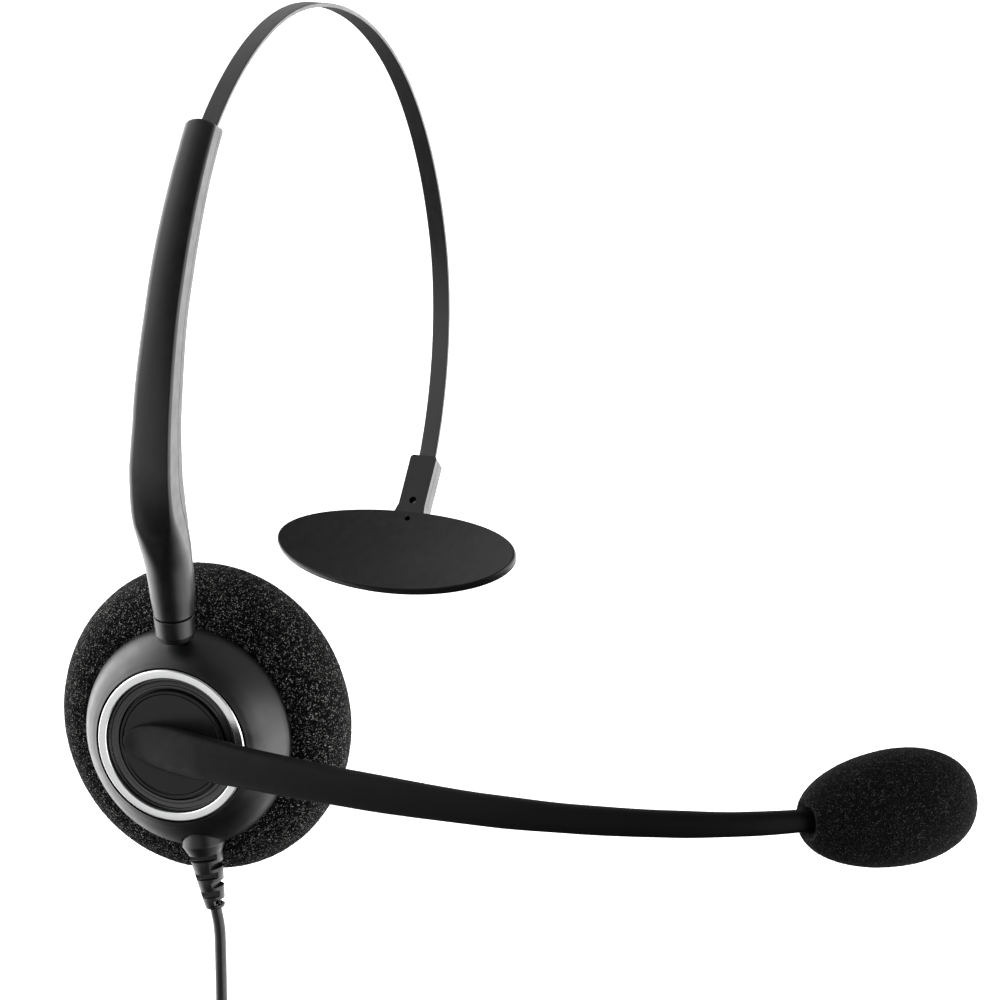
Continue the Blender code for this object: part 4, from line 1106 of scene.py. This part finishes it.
DIM_ROOM = 0.06
SURROUNDINGS = (  # (direction, cosine where it starts, cosine where it is full, brightness)
    ((-1.0, 0.20, 0.0), 0.42, 0.88, 4.3),
    ((0.48, 0.82, -0.28), 0.72, 0.95, 4.0),
    ((1.0, -0.14, -0.16), 0.68, 1.00, 5.2),
    ((-0.28, -0.94, -0.06), 0.84, 0.98, 1.25),
    ((-0.75, -0.35, 0.56), 0.72, 0.98, 1.4),
    ((0.5, 0.5, 0.7), 0.30, 1.00, 0.5),
)
VIEW_AZIMUTH, VIEW_ELEVATION = 19.8, 16.2
VIEW_DISTANCE = 1200.0
VIEW_WIDTH = 178.5714  # what the view spans at the silver ring
RING_IN_VIEW = (-58.8125, -43.9643)  # the ring's centre, right of and above the view's middle
SENSOR_WIDTH = 36.0
FLOOR_RADIUS = 9.0  # metres


def view_axes():
    """The view's right, up and back, seen from the azimuth round to +X and the elevation above."""
    a, e = radians(VIEW_AZIMUTH), radians(VIEW_ELEVATION)
    right = Vector((math.cos(a), math.sin(a), 0))
    up = Vector((-math.sin(a) * math.sin(e), math.cos(a) * math.sin(e), math.cos(e)))
    back = Vector((math.sin(a) * math.cos(e), -math.cos(a) * math.cos(e), math.sin(e)))
    return right, up, back


def make_camera():
    right, up, back = view_axes()
    camera = bpy.data.cameras.new("camera")
    camera.sensor_width = SENSOR_WIDTH
    camera.lens = SENSOR_WIDTH * VIEW_DISTANCE / VIEW_WIDTH
    camera.clip_start, camera.clip_end = 0.05, 30.0
    eye = in_scene("camera", camera)
    aim = at_depth(0, 0, 0) - right * RING_IN_VIEW[0] - up * RING_IN_VIEW[1]
    eye.location = (aim + back * VIEW_DISTANCE) * MM
    eye.rotation_euler = Matrix((right, up, back)).transposed().to_euler()
    bpy.context.scene.camera = eye


def make_stage():
    bm = bmesh.new()
    bmesh.ops.create_circle(bm, cap_ends=True, segments=96, radius=FLOOR_RADIUS)
    bmesh.ops.translate(bm, vec=(0, 0, FLOOR_Z * MM), verts=bm.verts)
    mesh = bpy.data.meshes.new("floor")
    bm.to_mesh(mesh)
    bm.free()
    floor = in_scene("floor", mesh)
    paper = Finish("floor_paper", (0.9, 0.9, 0.9), 0.9, specular=0.1)
    paper.shader.inputs["Emission Color"].default_value = (1, 1, 1, 1)
    paper.shader.inputs["Emission Strength"].default_value = 0.85
    mesh.materials.append(paper.material)
    floor.visible_diffuse = False
    floor.visible_glossy = False
    bpy.context.scene.view_settings.view_transform = "Standard"


def make_surroundings():
    """A soft studio: a dim room with broad pale patches at the sides, behind, in front and above."""
    world = bpy.data.worlds.new("studio")
    bpy.context.scene.world = world
    world.use_nodes = True
    nodes, links = world.node_tree.nodes, world.node_tree.links
    direction = nodes.new("ShaderNodeTexCoord").outputs["Generated"]

    def toward(axis, dark, light):
        """A share from 0 to 1 of how far a direction leans along an axis, between two cosines."""
        dot = nodes.new("ShaderNodeVectorMath")
        dot.operation = "DOT_PRODUCT"
        dot.inputs[1].default_value = Vector(axis).normalized()
        links.new(direction, dot.inputs[0])
        share = nodes.new("ShaderNodeMapRange")
        share.interpolation_type = "SMOOTHSTEP"
        share.inputs["From Min"].default_value = dark
        share.inputs["From Max"].default_value = light
        links.new(dot.outputs["Value"], share.inputs["Value"])
        return share.outputs["Result"]

    total = DIM_ROOM
    for axis, dark, light, strength in SURROUNDINGS:
        patch = maths(world.node_tree, "MULTIPLY", toward(axis, dark, light), strength)
        total = maths(world.node_tree, "ADD", total, patch)
    background = nodes["Background"]
    background.inputs["Color"].default_value = (1, 1, 1, 1)
    links.new(total, background.inputs["Strength"])


# ---- assembly


def main():
    make_camera()
    repaint_frame()
    relief = make_strain_relief()
    lead, lead_exit, lead_length = make_cord()
    tie = make_tie()
    plug = make_plug()
    make_cup_shell()
    make_cup_rings()
    make_cushion()
    make_boom()
    make_hub()
    make_windscreen()
    make_collar()
    make_arm()
    strip_end = make_band()
    make_stem(strip_end)
    make_temple_pad(strip_end)
    make_stage()
    make_surroundings()


main()
